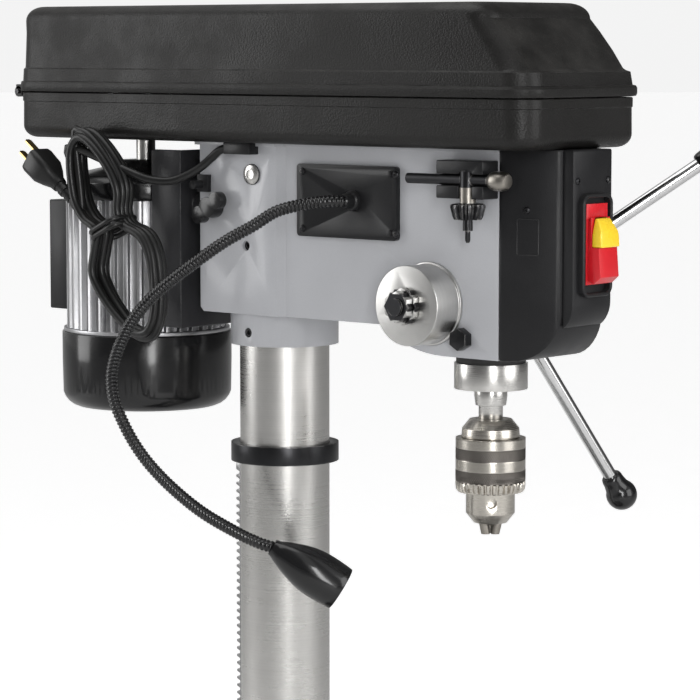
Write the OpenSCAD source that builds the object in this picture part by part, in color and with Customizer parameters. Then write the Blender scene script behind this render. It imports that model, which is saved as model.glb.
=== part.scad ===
// Bench drill press: column, head, quill, chuck, belts, motor, lamp and lifting table.
// Origin: on the column's axis, at the underside of the base. +Z up, -Y towards the operator.

/* [Frame] */
// Outside diameter of the column
column_d = 73; // [60:1:90]
// Wall of the column tube
column_wall = 4; // [3:0.5:8]
// Distance from the column's axis to the spindle's axis
throat = 214; // [175:1:260]
// Width of the base
base_w = 260; // [230:1:320]
// Length of the base, front to back
base_len = 430; // [400:1:520]
// Height of the base casting
base_h = 45; // [36:1:60]
// Diameter of the holes that bolt the base to a bench
bench_hole_d = 12; // [8:0.5:16]

/* [Head] */
// Height of the head's top face above the bench
head_top = 903; // [860:1:1000]
// Depth of the head casting behind the lamp
head_depth = 138; // [125:1:160]
// Extra drop of the nose round the quill
nose_drop = 20.5; // [12:0.5:30]
// Width of the front part of the head
head_front_w = 82; // [76:1:100]
// Length of the head in front of the spindle
head_ahead = 39; // [36:0.5:50]
// Depth of the black box in front of the head
cover_depth = 47; // [35:1:60]
// Width of the raised switch plate
panel_w = 48; // [40:1:54]

/* [Quill and spindle] */
// Diameter of the quill
quill_d = 40; // [36:0.5:50]
// Travel of the quill
quill_travel = 80; // [50:1:80]
// Diameter of the quill's nose
nose_d = 56.7; // [52:0.1:60]
// Module of the quill rack and its pinion
feed_module = 1.5; // [1.5:0.05:1.6]
// Teeth of the quill pinion
feed_teeth = 11; // [11:1:12]

/* [Chuck] */
// Diameter of the chuck's sleeve
chuck_d = 54; // [52:0.5:60]
// Diameter of a chuck jaw
jaw_d = 7; // [6:0.1:7.4]
// Travel of a jaw along its own bore
jaw_travel = 24; // [10:1:24]
// Diameter of the key's pilot holes
key_pilot_d = 8.5; // [6:0.1:9]

/* [Feed handle] */
// Diameter of a handle rod
rod_d = 10.8; // [8:0.1:12]
// Reach of a rod from the feed shaft, square to the shaft
rod_reach = 167; // [100:1:170]
// Diameter of the handle hub
hub_d = 44; // [40:1:56]
// Diameter of the spring cap
cap_d = 61; // [54:0.5:66]

/* [Belt guard] */
// Width of the guard
guard_w = 148; // [140:1:170]
// Height of the pan
pan_h = 38; // [30:1:44]
// Height of the lid
lid_h = 71; // [66:1:90]
// Sheet thickness of the guard
guard_t = 2.5; // [2:0.1:3]

/* [Motor] */
// Diameter over the motor's ribs
motor_d = 135.4; // [120:0.1:142]
// Length of the ribbed body
motor_len = 110; // [96:1:116]
// Diameter of the motor's shaft
motor_shaft_d = 16; // [14:0.5:19]
// Slide of the motor towards the column that slackens the belts
slack_travel = 12; // [4:1:12]

/* [Table] */
// Side of the square table
table_size = 238; // [200:1:238]
// Height of the table's top face
table_z = 360; // [330:1:400]
// Module of the column rack and its pinion
lift_module = 2; // [1.8:0.05:2.1]
// Teeth of the lifting pinion
lift_teeth = 10; // [10:1:11]
// Length of the crank arm
crank_len = 80; // [60:1:95]
// Diameter of the hole in the middle of the table
table_hole_d = 25; // [18:0.5:27]

/* [Lamp and cord] */
// Length of the lamp's base plate
lamp_plate_len = 102; // [80:1:106]
// Diameter of the flexible arm
arm_d = 10; // [8:0.5:11]
// Diameter of the lamp head's mouth
lamp_d = 37; // [30:0.5:40]
// Diameter of the power cord
cord_d = 7; // [6:0.1:8]

/* [Hidden] */
$fn = 48;
RUN = 0.05;      // radial clearance of a running fit
GAP = 0.3;       // gap between pieces that only lie beside each other
column_r = column_d / 2;
spindle_y = -throat;
quill_r = quill_d / 2;
belly_z = head_top - head_depth;
nose_z = belly_z - nose_drop;
head_back = column_r + 15.5;
head_rear_w = column_d + 19;
head_front_y = spindle_y - head_ahead;
chamfer_y = -column_r + 3.5;
collar_r = column_r + 7.5;
collar_z = belly_z - 26;
socket_top = head_top - 73;
bearing_z = head_top - 31;

// feed shaft
feed_r = feed_module * feed_teeth / 2;
rack_depth = 1.5;
feed_y = spindle_y + quill_r - rack_depth + feed_r;
feed_z = nose_z + 39.5;
journal_r = feed_r + 0.8 * feed_module + 0.45;
small_journal_r = 6.5;
boss_x = head_front_w / 2 + 6;
ring_t = 6.4;
hub_x = boss_x + GAP + ring_t + GAP;
hub_len = 36;
hub_origin_x = hub_x - 4;
rod_splay = 0.65;
rod_start = 14.5;
rod_tilt = -78;
cap_x = -head_front_w / 2;
cap_len = 29;
nut_len = 12;

// quill and spindle, seen from the rest position
nose_len = 20;
nose_top = nose_z - 6.7;
nose_bottom = nose_top - nose_len;
quill_top = bearing_z - 4;
spindle_r = 8;
spline_r = 8.5;
spline_root = 7.2;
sleeve_r = 15;
sleeve_top = head_top + 87;
spindle_end = sleeve_top - 6;

// chuck heights, counted down from the spindle's flange
chuck_r = chuck_d / 2;
flange_z = nose_bottom - 13.1;
chuck_top = flange_z - 10.8;
sleeve_z1 = chuck_top - 14;
gear_z1 = sleeve_z1 - 33.5;
sleeve_z0 = gear_z1 - 8.5;
body_r = chuck_r - 7.1;
body_z0 = sleeve_z0 - 24.2;
jaw_tip_z = body_z0 - 9;
jaw_len = 39;
jaw_tilt = 14;
jaw_r = jaw_d / 2;
jaw_offset = jaw_r + 0.5;
jaw_turn = 41;
key_hole_turn = 221;
key_hole_z = sleeve_z0 - 7.1;

// belt drive
pulley_z = head_top + 12;
step_h = 17;
step_r = [58, 48, 38, 28];
belt_t = 7;
belt_w = 8;
groove_w = 9;
groove_depth = 9;
idler_x = 0;
idler_y = -20;
idler_pivot_x = 32;
plate_y = head_back + 15;
plate_t = 6;
plate_w = 104;
motor_y = plate_y + 91;
motor_z0 = head_top - 161;
motor_z1 = motor_z0 + motor_len;
bar_x = 28;
bar_r = 10;
bar_z = head_top - 53;

// guard
guard_back = motor_y + 85;
guard_front = spindle_y - 89;
seam_z = head_top + pan_h;
hinge_y = guard_back + 6;
hinge_z = seam_z;
lid_top = seam_z + lid_h;

// table
rim_h = 24;
table_t = 12;
tilt_z = table_z - 68;
bracket_z0 = table_z - 130;
bracket_z1 = table_z - 30;
bracket_r = column_r + 15.5;
lift_r = lift_module * lift_teeth / 2;
rack_half_w = 8;
rack_y0 = column_r + GAP;
rack_pitch_y = rack_y0 + 9.1;
lift_y = rack_pitch_y + lift_r;
lift_z = table_z - 80;
lift_journal_r = lift_r + 0.8 * lift_module + 0.4;
crank_x = column_r + 21.5;
flange_h = 14;
socket_h = 55;
flange_r = column_r + 29.5;
ring_z0 = belly_z - 122;
ring_h = 15;
rack_z0 = base_h + socket_h + 1;
tilt_face_y = -150;
pin_r = 8;
stem_r = 18;

// lamp
lamp_y = -throat / 2 + 1;
lamp_z = head_top - 44;
lamp_x = -head_front_w / 2;
// Centre line of the flexible arm, counted from its root on the plate
ARM = [[0, 0, 0], [-8, 0, 0], [-16, 8, 0], [-24, 24, -2], [-35, 46, -8], [-44, 64, -20],
       [-53, 82, -31], [-61, 100, -44], [-69, 120, -59], [-76, 142, -77], [-80, 160, -96],
       [-82, 172, -115], [-83, 179, -131], [-83, 182, -146], [-82, 180, -163], [-80, 173, -179],
       [-77, 163, -196], [-74, 149, -212], [-71, 127, -229], [-67, 98, -246], [-62, 66, -259],
       [-57, 46, -266], [-52, 36, -269]];
ARM_ROOT = [lamp_x - 6, lamp_y - 7.5, lamp_z + 1];
LAMP_DIR = [0.56, -0.64, -0.53];
lamp_len = 62;

// power cord, from the clip on the head to the hank and from the hank to the plug
LEAD = [[-52, 14, 898], [-53, 22, 896], [-55, 29, 890], [-60, 37, 882], [-66, 48, 875],
        [-72, 60, 871], [-79, 75, 872], [-84, 89, 876], [-87, 98, 880]];
TAIL = [[-92, 132, 850], [-92, 139, 847], [-90, 148, 847], [-87, 155, 850], [-85, 160, 854]];
PLUG_DIR = [0, 0.80, 0.60];
hank_x0 = -101;
hank_t = 23;
hank_top = [130, 882, 36];
hank_low = [82, 782, 46];
waist_half = 13;
TIE_POST = [-56, 46, 868];

// ---------- helpers ----------

function unit(v) = v / norm(v);

function arc(c, r, a0, a1, n) =
    [for (i = [0:n]) [c[0] + r * cos(a0 + (a1 - a0) * i / n), c[1] + r * sin(a0 + (a1 - a0) * i / n)]];

// Point along a smooth curve through four neighbouring route points
function between(a, b, c, d, t) =
    0.5 * (2 * b + (c - a) * t + (2 * a - 5 * b + 4 * c - d) * t * t
           + (3 * b - a - 3 * c + d) * t * t * t);

function smooth(p, n) = concat(
    [for (i = [0:len(p) - 2]) for (k = [0:n - 1])
        between(p[max(i - 1, 0)], p[i], p[i + 1], p[min(i + 2, len(p) - 1)], k / n)],
    [p[len(p) - 1]]);

function heading(p, i) = unit(p[min(i + 1, len(p) - 1)] - p[max(i - 1, 0)]);

function square_to(n, t) = unit(n - t * (n * t));

// A direction square to the curve at each point, carried along without twist
function carried(p, seed) =
    [for (i = 0, n = square_to(seed, heading(p, 0)); i < len(p);
          i = i + 1, n = square_to(n, heading(p, min(i, len(p) - 1)))) n];

module tube(p, r, sides, seed) {
    across = carried(p, seed);
    points = [for (i = [0:len(p) - 1]) for (j = [0:sides - 1])
        let (t = heading(p, i), a = 360 * j / sides)
        p[i] + r * (cos(a) * across[i] + sin(a) * cross(t, across[i]))];
    last = len(p) - 1;
    walls = [for (i = [0:last - 1]) for (j = [0:sides - 1])
        let (k = (j + 1) % sides)
        [i * sides + j, (i + 1) * sides + j, (i + 1) * sides + k, i * sides + k]];
    start = [[for (j = [0:sides - 1]) j]];
    end = [[for (j = [sides - 1:-1:0]) last * sides + j]];
    polyhedron(points, concat(walls, start, end));
}

// Plan with round corners, centred on the origin
module rounded(w, l, r) {
    square([w - 2 * r, l], center = true);
    square([w, l - 2 * r], center = true);
    for (x = [-1, 1])
        for (y = [-1, 1])
            translate([x * (w / 2 - r), y * (l / 2 - r)])
                circle(r);
}

// Slot with round ends, its length along Y
module slot(w, l) {
    square([w, l - w], center = true);
    for (s = [-1, 1])
        translate([0, s * (l - w) / 2])
            circle(w / 2);
}

module along_x(x, y, z, r, len) {
    translate([x, y, z])
        rotate([0, 90, 0])
            cylinder(h = len, r = r);
}

module along_y(x, y, z, r, len) {
    translate([x, y, z])
        rotate([-90, 0, 0])
            cylinder(h = len, r = r);
}

module hex_x(x, y, z, across_flats, len) {
    translate([x, y, z])
        rotate([0, 90, 0])
            cylinder(h = len, d = across_flats / cos(30), $fn = 6);
}

// A shape drawn in Y and Z, carried along X
module side_shape(x, len) {
    translate([x, 0, 0])
        rotate([90, 0, 90])
            linear_extrude(len)
                children();
}

// Turns +Z to the direction d
module aim(d) {
    rotate([0, acos(d[2] / norm(d)), atan2(d[1], d[0])])
        children();
}

module block(x0, x1, y0, y1, z0, z1) {
    translate([x0, y0, z0])
        cube([x1 - x0, y1 - y0, z1 - z0]);
}

// Involute gear with stub teeth; a tooth space points along the direction at space_at
function roll(r, base) = r <= base ? 0 : sqrt(pow(r / base, 2) - 1);
function polar(r, base) = roll(r, base) * 180 / PI - atan(roll(r, base));
PRESSURE = 25;
BACKLASH = 0.25;

function flank(m, z, r) =
    let (pitch = m * z / 2, base = pitch * cos(PRESSURE))
    90 / z - BACKLASH / pitch * 90 / PI + polar(pitch, base) - polar(r, base);

module gear(m, z, space_at) {
    pitch = m * z / 2;
    root = pitch - m;
    tip = pitch + 0.8 * m;
    radii = [root, for (k = [0:5]) max(root + 0.05, pitch * cos(PRESSURE)) +
             (tip - max(root + 0.05, pitch * cos(PRESSURE))) * k / 5];
    points = [for (i = [0:z - 1])
        let (mid = space_at + 180 / z + 360 * i / z)
        for (k = [-6:6])
            let (r = radii[6 - abs(k)], side = k <= 0 ? -1 : 1)
            if (k != 0) [r * cos(mid + side * flank(m, z, r)), r * sin(mid + side * flank(m, z, r))]
            else [r * cos(mid - flank(m, z, r)), r * sin(mid - flank(m, z, r))]];
    polygon(points);
}

// One space between two rack teeth: drawn across the rack, x out of the teeth and y along them
module rack_space(m, reach) {
    pitch = PI * m;
    half = pitch / 4 + BACKLASH / 4;
    slope = tan(PRESSURE);
    polygon([[-m, -half + m * slope], [reach, -half - reach * slope],
             [reach, half + reach * slope], [-m, half - m * slope]]);
}

// ---------- frame ----------

base_mid_y = -(base_len / 2 - 95);
bolt_dx = base_w / 2 - 25;
bolt_dy = base_len / 2 - 25;

module base() {
    color("#2c2d30")
        difference() {
            union() {
                translate([0, base_mid_y, 0])
                    difference() {
                        linear_extrude(base_h)
                            rounded(base_w, base_len, 28);
                        translate([0, 0, -1])
                            linear_extrude(base_h - 13)
                                rounded(base_w - 24, base_len - 24, 18);
                    }
                cylinder(h = base_h, r = flange_r);
                for (x = [-1, 1])
                    for (y = [-1, 1])
                        translate([x * bolt_dx, base_mid_y + y * bolt_dy, 0])
                            cylinder(h = base_h - 1, r = bench_hole_d / 2 + 9);
                translate([0, spindle_y, base_h - 1])
                    linear_extrude(4)
                        rounded(base_w - 60, 170, 12);
            }
            for (x = [-1, 1])
                for (y = [-1, 1])
                    translate([x * bolt_dx, base_mid_y + y * bolt_dy, -1])
                        cylinder(h = base_h + 2, d = bench_hole_d);
            for (x = [-1, 1])
                translate([x * 55, spindle_y, 0])
                    linear_extrude(base_h + 5)
                        slot(14, 110);
            for (a = [45:90:315])
                rotate(a)
                    translate([column_r + 20, 0, base_h - 24])
                        cylinder(h = 25, d = 10);
        }
}

module column_flange() {
    color("#2c2d30")
        difference() {
            union() {
                translate([0, 0, base_h])
                    cylinder(h = flange_h, r = flange_r);
                translate([0, 0, base_h])
                    cylinder(h = socket_h, r = column_r + 11);
            }
            translate([0, 0, base_h - 1])
                cylinder(h = socket_h + 2, r = column_r + RUN);
            for (a = [45:90:315])
                rotate(a)
                    translate([column_r + 20, 0, base_h - 1])
                        cylinder(h = flange_h + 2, d = 10.6);
        }
}

module column() {
    color("#c4c4c2")
        translate([0, 0, base_h])
            difference() {
                cylinder(h = socket_top - 2 - base_h, r = column_r, $fn = 96);
                translate([0, 0, -1])
                    cylinder(h = socket_top - base_h, r = column_r - column_wall, $fn = 96);
            }
}

module rack_ring() {
    color("#1b1b1c")
        difference() {
            translate([0, 0, ring_z0])
                cylinder(h = ring_h, r = collar_r, $fn = 96);
            translate([0, 0, ring_z0 - 1])
                cylinder(h = ring_h + 2, r = column_r + RUN, $fn = 96);
            translate([0, 0, ring_z0 - 1])
                cylinder(h = 7, r1 = column_r + 5.7, r2 = column_r + 0.9, $fn = 96);
            along_y(0, column_r - 1, ring_z0 + 10, 3, 10);
        }
}

// ---------- head ----------

function head_plan(grow) =
    let (a = head_rear_w / 2 + grow, b = head_front_w / 2 + grow, y0 = head_front_y)
    [[-a + 1.5, head_back + grow], [-a, head_back - 1.5], [-a, chamfer_y], [-b, chamfer_y - 6],
     [-b, y0], [b, y0], [b, chamfer_y - 6], [a, chamfer_y], [a, head_back - 1.5],
     [a - 1.5, head_back + grow]];

belly_r = 105;
belly_sweep = acos(1 - nose_drop / belly_r);
belly_y = spindle_y + 14;

module head_side() {
    polygon(concat([[head_back, head_top], [head_back, belly_z + 5], [head_back - 5, belly_z]],
                   arc([belly_y, nose_z + belly_r], belly_r, 270 + belly_sweep, 270, 8),
                   [[head_front_y, nose_z], [head_front_y, head_top]]));
}

module head() {
    half = head_front_w / 2;
    color("#a9adb6")
        difference() {
            union() {
                intersection() {
                    translate([0, 0, nose_z])
                        linear_extrude(head_top - nose_z)
                            polygon(head_plan(0));
                    side_shape(-head_rear_w, 2 * head_rear_w)
                        head_side();
                }
                translate([0, 0, head_top - 3])
                    linear_extrude(3)
                        polygon(head_plan(3));
                translate([0, 0, collar_z])
                    cylinder(h = 30, r = collar_r, $fn = 96);
                along_x(half - 1, feed_y, feed_z, 30, 7);
            }
            translate([0, 0, collar_z - 1])
                cylinder(h = socket_top - collar_z + 1, r = column_r + RUN, $fn = 96);
            translate([0, spindle_y, nose_z - 1])
                cylinder(h = bearing_z - nose_z + 2, r = quill_r + RUN, $fn = 96);
            translate([0, spindle_y, bearing_z])
                cylinder(h = 32, r = 26);
            block(-half + 8, half - 8, spindle_y + quill_r + 29, chamfer_y - 17,
                  belly_z + 10, head_top + 1);
            along_x(-12, feed_y, feed_z, journal_r + RUN, boss_x + 14);
            along_x(-half - 1, feed_y, feed_z, small_journal_r + RUN, half);
            for (x = [-bar_x, bar_x])
                along_y(x, -25, bar_z, bar_r + RUN, head_back + 26);
            along_x(-head_rear_w / 2 - 1, 32.5, bar_z, 5.3, head_rear_w / 2 - bar_x + 1);
            translate([idler_pivot_x, idler_y, head_top - 25])
                cylinder(h = 26, r = 8 + RUN);
            for (z = [socket_top - 10, collar_z + 11])
                along_x(-head_rear_w / 2 - 1, 0, z, 4, head_rear_w / 2 - column_r + 2);
            along_x(-half - 1, spindle_y - 6, nose_z + 14.5, 4, half - quill_r + 1);
            along_x(-head_rear_w / 2 - 1, -7, head_top - 25.5, 8.4, 6);
        }
}

module fasteners() {
    half = head_front_w / 2;
    color("#b8babd") {
        for (a = [45:90:315])
            rotate(a)
                translate([column_r + 20, 0, 0]) {
                    translate([0, 0, base_h + flange_h])
                        cylinder(h = 7, d = 16 / cos(30), $fn = 6);
                    translate([0, 0, base_h - 22])
                        cylinder(h = flange_h + 23, d = 9.9);
                }
        along_x(-head_rear_w / 2 - 0.8, -7, head_top - 25.5, 8.35, 5.5);
    }
    color("#1c1c1d") {
        for (z = [socket_top - 10, collar_z + 11])
            difference() {
                along_x(-column_r - 6.5, 0, z, 3.95, 6.2);
                hex_x(-column_r - 7, 0, z, 4, 3.5);
            }
        hex_x(-half - 8, spindle_y - 6, nose_z + 14.5, 15, 8);
        along_x(-half - 1, spindle_y - 6, nose_z + 14.5, 3.9, half - quill_r + 0.4);
        along_y(0, column_r + 0.2, ring_z0 + 10, 2.95, 6.5);
    }
}

module cover_side(inset) {
    y0 = head_front_y - cover_depth + inset;
    r = 38;
    z0 = nose_z + inset;
    polygon(concat([[head_front_y + 1, head_top + 1], [head_front_y + 1, z0]],
                   arc([y0 + r, z0 + r], r, 270, 180, 10), [[y0, head_top + 1]]));
}

module cover_plan(inset) {
    a = head_front_w / 2 - inset;
    b = a - 13;
    y0 = head_front_y - cover_depth + inset;
    polygon([[-a, head_front_y + 1], [-a, head_front_y - 3], [-b, y0 + 3], [-b + 3, y0],
             [b - 3, y0], [b, y0 + 3], [a, head_front_y - 3], [a, head_front_y + 1]]);
}

module cover_solid(inset) {
    intersection() {
        translate([0, 0, nose_z - 1])
            linear_extrude(head_top - nose_z + 4)
                cover_plan(inset);
        side_shape(-head_front_w, 2 * head_front_w)
            cover_side(inset);
    }
}

module front_cover() {
    color("#232324")
        difference() {
            cover_solid(0);
            cover_solid(2.5);
            block(-100, 100, head_front_y, head_front_y + 10, 0, head_top + 10);
            block(-100, 100, -1000, 0, head_top, head_top + 10);
            block(-9, 9, head_front_y - cover_depth - 1, head_front_y - cover_depth + 3,
                  head_top - 92, head_top - 48);
        }
}

panel_y = head_front_y - cover_depth;
panel_t = 9.5;
switch_z = head_top - 70;

module switch_panel() {
    bottom = nose_z + 22;
    color("#232324")
        difference() {
            intersection() {
                translate([0, 0, bottom])
                    linear_extrude(head_top - bottom)
                        translate([0, panel_y - panel_t / 2])
                            square([panel_w, panel_t], center = true);
                side_shape(-panel_w, 2 * panel_w)
                    polygon(concat([[panel_y, head_top]],
                                   arc([panel_y - panel_t + 22, bottom + 22], 22,
                                       180 + acos(1 - panel_t / 22), 180, 6),
                                   [[panel_y - panel_t, head_top]]));
            }
            block(-9, 9, panel_y - panel_t - 1, panel_y + 1, switch_z - 22, switch_z + 22);
        }
}

module switch_housing() {
    front = panel_y - panel_t;
    color("#c0272d")
        difference() {
            union() {
                block(-13, 13, front - 4, front - 0.02, switch_z - 30, switch_z + 30);
                block(-8.8, 8.8, front - 1, panel_y + 14, switch_z - 21.8, switch_z + 21.8);
            }
            block(-7, 7, front - 5, panel_y + 10, switch_z - 19, switch_z + 19);
            along_x(-12, front - 1.5, switch_z + 12, 1.5 + RUN, 24);
        }
}

module switch_paddle() {
    front = panel_y - panel_t;
    color("#c8262c")
        union() {
            difference() {
                side_shape(-11.5, 23)
                    polygon([[front - 6.2, switch_z + 20], [front - 4.6, switch_z + 12],
                             [front - 4.6, switch_z - 27],
                             [front - 10, switch_z - 29], [front - 16, switch_z - 24],
                             [front - 14, switch_z], [front - 8, switch_z + 20]]);
                block(-7.3, 7.3, front - 30, front, switch_z - 2.3, switch_z + 30);
                block(-12, 12, front - 30, front - 7.4, switch_z - 2.3, switch_z + 30);
            }
            block(-6.4, 6.4, front - 4.7, front + 4, switch_z - 10, switch_z - 3);
            block(-6.4, 6.4, front - 5, front + 1, switch_z - 4, switch_z + 12);
            along_x(-11.9, front - 1.5, switch_z + 12, 1.5, 23.8);
        }
}

module switch_key() {
    front = panel_y - panel_t;
    color("#f0d23a") {
        block(-7, 7, front - 8, front - 5.3, switch_z - 2, switch_z + 19);
        intersection() {
            side_shape(-11.5, 23)
                polygon([[front - 7.7, switch_z + 19.5], [front - 7.7, switch_z - 2],
                         [front - 17, switch_z - 2], [front - 16, switch_z + 10],
                         [front - 10.5, switch_z + 19.5]]);
            translate([0, front, switch_z])
                rotate([90, 0, 0])
                    linear_extrude(20)
                        polygon([[-11.5, -2], [11.5, -2], [11.5, 7], [8, 19.5], [-8, 19.5], [-11.5, 7]]);
        }
    }
}

module lamp_plate() {
    color("#161617") {
        difference() {
            translate([lamp_x, lamp_y, lamp_z])
                rotate([0, -90, 0])
                    linear_extrude(5)
                        rounded(57, lamp_plate_len, 3);
            translate([lamp_x - 6, ARM_ROOT[1], ARM_ROOT[2]])
                rotate([0, 90, 0])
                    cylinder(h = 4, r = 6 + RUN);
        }
        for (y = [-1, 1])
            for (z = [-1, 1])
                along_x(lamp_x - 6.5, lamp_y + y * (lamp_plate_len / 2 - 6), lamp_z + z * 22.5, 2.6, 1.5);
    }
}

key_y = spindle_y - 21.5;
key_x = -head_front_w / 2 - 15;
key_z = head_top - 23;

module key_holder() {
    color("#19191a")
        difference() {
            block(-head_front_w / 2 - 19, -head_front_w / 2, spindle_y - 38.5, spindle_y + 6,
                  head_top - 37, head_top - 8.5);
            block(-head_front_w / 2 - 20, key_x + 6.3, key_y - 6.3, key_y + 6.3,
                  head_top - 40, head_top - 17);
            along_y(key_x, spindle_y - 42, key_z, 4.4, 60);
            block(-head_front_w / 2 - 20, key_x, spindle_y - 42, spindle_y + 25,
                  key_z - 4.4, key_z + 4.4);
        }
}

module chuck_key() {
    color("#4a4b4d") {
        difference() {
            translate([key_x, key_y, head_top - 52])
                cylinder(h = 31.5, r = 6);
            along_y(key_x, key_y - 10, key_z, 4 + RUN, 20);
        }
        translate([key_x, key_y, head_top - 52.5])
            linear_extrude(12)
                circle(13.5, $fn = 12);
        translate([key_x, key_y, head_top - 61])
            cylinder(h = 9, r = key_pilot_d / 2 - 0.3);
        translate([key_x, key_y, head_top - 70])
            cylinder(h = 9.5, r = 2);
    }
    color("#8d8f92") {
        along_y(key_x, key_y - 31, key_z, 4, 89);
        translate([key_x, key_y - 31, key_z])
            sphere(7.5);
    }
}

module spring_cap() {
    color("#b9bab8")
        difference() {
            union() {
                along_x(cap_x - cap_len, feed_y, feed_z, cap_d / 2, cap_len);
                along_x(cap_x - 3, feed_y, feed_z, cap_d / 2 + 1.5, 3);
            }
            along_x(cap_x - cap_len + 2, feed_y, feed_z, cap_d / 2 - 2, cap_len);
            along_x(cap_x - cap_len - 1, feed_y, feed_z, small_journal_r + 0.4, 5);
        }
}

// Flat spiral spring: inner end near the shaft, outer end near the cap's wall
module return_spring() {
    turns = 3.5;
    r0 = small_journal_r + 2;
    r1 = cap_d / 2 - 4.5;
    steps = 56;
    out = [for (i = [0:steps]) let (a = 360 * turns * i / steps, r = r0 + (r1 - r0) * i / steps)
        [r * cos(a), r * sin(a)]];
    back = [for (i = [steps:-1:0]) let (a = 360 * turns * i / steps, r = r0 + 1.2 + (r1 - r0) * i / steps)
        [r * cos(a), r * sin(a)]];
    color("#70757c")
        side_shape(cap_x - cap_len + 6, 17)
            translate([feed_y, feed_z])
                polygon(concat(out, back));
}

// ---------- quill, spindle and chuck ----------

feed_pitch = PI * feed_module;

module quill() {
    color("#c9c8c4")
        translate([0, spindle_y, 0])
            difference() {
                union() {
                    translate([0, 0, nose_bottom])
                        cylinder(h = nose_len, d = nose_d, $fn = 96);
                    translate([0, 0, nose_top - 1])
                        cylinder(h = quill_top - nose_top + 1, r = quill_r, $fn = 96);
                }
                translate([0, 0, nose_bottom - 1])
                    cylinder(h = quill_top - nose_bottom + 2, r = 11);
                translate([0, 0, nose_bottom - 1])
                    cylinder(h = 17, r = 23.5);
                translate([0, 0, quill_top - 10])
                    cylinder(h = 11, r = 16);
                block(-12, 12, quill_r - rack_depth + 0.8 * feed_module, quill_r + 1,
                      feed_z - 3 * feed_pitch, quill_top + 1);
                for (k = [-3:18])
                    side_shape(-12, 24)
                        translate([quill_r - rack_depth, feed_z + (k + 0.5) * feed_pitch])
                            rack_space(feed_module, 1.6);
            }
}

module quill_bumper() {
    color("#1a1a1a")
        translate([0, spindle_y, nose_top + 0.02])
            difference() {
                cylinder(h = 5.5, d = nose_d - 3);
                translate([0, 0, -1])
                    cylinder(h = 8, r = quill_r + 0.1);
            }
}

module ring(z, r_out, r_in, h) {
    translate([0, 0, z])
        difference() {
            cylinder(h = h, r = r_out);
            translate([0, 0, -1])
                cylinder(h = h + 2, r = r_in);
        }
}

module spindle_bearings() {
    color("#9fa3a8")
        translate([0, spindle_y, 0]) {
            ring(nose_bottom + 1.5, 23.45, 10 + RUN, 14);
            ring(quill_top - 9.8, 15.95, spindle_r + RUN, 9.5);
        }
}

module pulley_bearings() {
    color("#9fa3a8")
        translate([0, spindle_y, 0]) {
            ring(bearing_z + 0.5, 25.95, sleeve_r + RUN, 13);
            ring(bearing_z + 16.5, 25.95, sleeve_r + RUN, 13);
        }
}

module spline(tip, root, half_w) {
    circle(root);
    for (a = [0:60:300])
        rotate(a)
            translate([root / 2, -half_w])
                square([tip - root / 2, 2 * half_w]);
}

taper_len = 25;

module spindle() {
    color("#cfceca")
        translate([0, spindle_y, 0])
            union() {
                translate([0, 0, nose_bottom - 0.5])
                    cylinder(h = quill_top - nose_bottom + 1, r = spindle_r);
                translate([0, 0, quill_top])
                    linear_extrude(spindle_end - quill_top)
                        spline(spline_r, spline_root, 2);
                translate([0, 0, nose_bottom])
                    cylinder(h = 16, r = 10);
                rotate_extrude()
                    polygon([[0, nose_bottom + 0.5], [12.75, nose_bottom + 0.5],
                             [12.75, nose_bottom - 6], [11.8, flange_z], [9.35, flange_z],
                             [9.35, chuck_top], [8, chuck_top], [7.2, chuck_top - taper_len],
                             [0, chuck_top - taper_len]]);
            }
}

module jaw_bores(r, len) {
    for (k = [0:2])
        rotate(jaw_turn + 120 * k)
            translate([jaw_offset, 0, jaw_tip_z])
                rotate([0, jaw_tilt, 0])
                    translate([0, 0, -4])
                        cylinder(h = len + 4, r = r);
}

module chuck_body() {
    color("#b5b2aa")
        translate([0, spindle_y, 0])
            difference() {
                rotate_extrude($fn = 96)
                    polygon([[0, chuck_top], [16.5, chuck_top], [body_r + 2.1, chuck_top - 6.8],
                             [body_r + 2.6, chuck_top - 12.3], [body_r + 2.6, sleeve_z1 + 0.4],
                             [body_r, sleeve_z1 + 0.4], [body_r, sleeve_z0 + 0.3],
                             [body_r - 1, sleeve_z0], [body_r - 1, body_z0 + 7.5],
                             [body_r - 6.9, body_z0], [0, body_z0]]);
                translate([0, 0, chuck_top - taper_len - 0.5])
                    cylinder(h = taper_len + 1, r1 = 7.25, r2 = 8.05);
                translate([0, 0, body_z0 - 1])
                    cylinder(h = 40, r = 7);
                jaw_bores(jaw_r + RUN, jaw_len + jaw_travel + 6);
                for (k = [0:2])
                    rotate(key_hole_turn + 120 * k)
                        translate([10.5, 0, key_hole_z])
                            rotate([0, 90, 0])
                                cylinder(h = 20, d = key_pilot_d);
            }
}

module chuck_sleeve() {
    knurls = 90;
    color("#aba79e")
        translate([0, spindle_y, 0])
            difference() {
                union() {
                    translate([0, 0, gear_z1])
                        cylinder(h = sleeve_z1 - gear_z1, r = chuck_r, $fn = 96);
                    for (a = [0:10:350])
                        rotate(a)
                            translate([chuck_r - 4, -1.3, sleeve_z0])
                                cube([4.2, 2.6, gear_z1 - sleeve_z0 + 1]);
                    translate([0, 0, sleeve_z0])
                        cylinder(h = gear_z1 - sleeve_z0 + 1, r = chuck_r - 2.4);
                }
                translate([0, 0, sleeve_z0 - 1])
                    cylinder(h = sleeve_z1 - sleeve_z0 + 2, r = body_r + 0.3);
                translate([0, 0, gear_z1 + 4])
                    cylinder(h = 25, r = chuck_r - 3.2);
            }
}

module jaw(k) {
    color("#8f8c86")
        translate([0, spindle_y, 0])
            rotate(jaw_turn + 120 * k)
                intersection() {
                    translate([jaw_offset, 0, jaw_tip_z])
                        rotate([0, jaw_tilt, 0])
                            translate([0, 0, -4])
                                cylinder(h = jaw_len + 4, r = jaw_r);
                    translate([0, 0, jaw_tip_z])
                        linear_extrude(jaw_len + 10)
                            polygon([[0.6, 0], [40, -68], [40, 68]]);
                }
}

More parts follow.
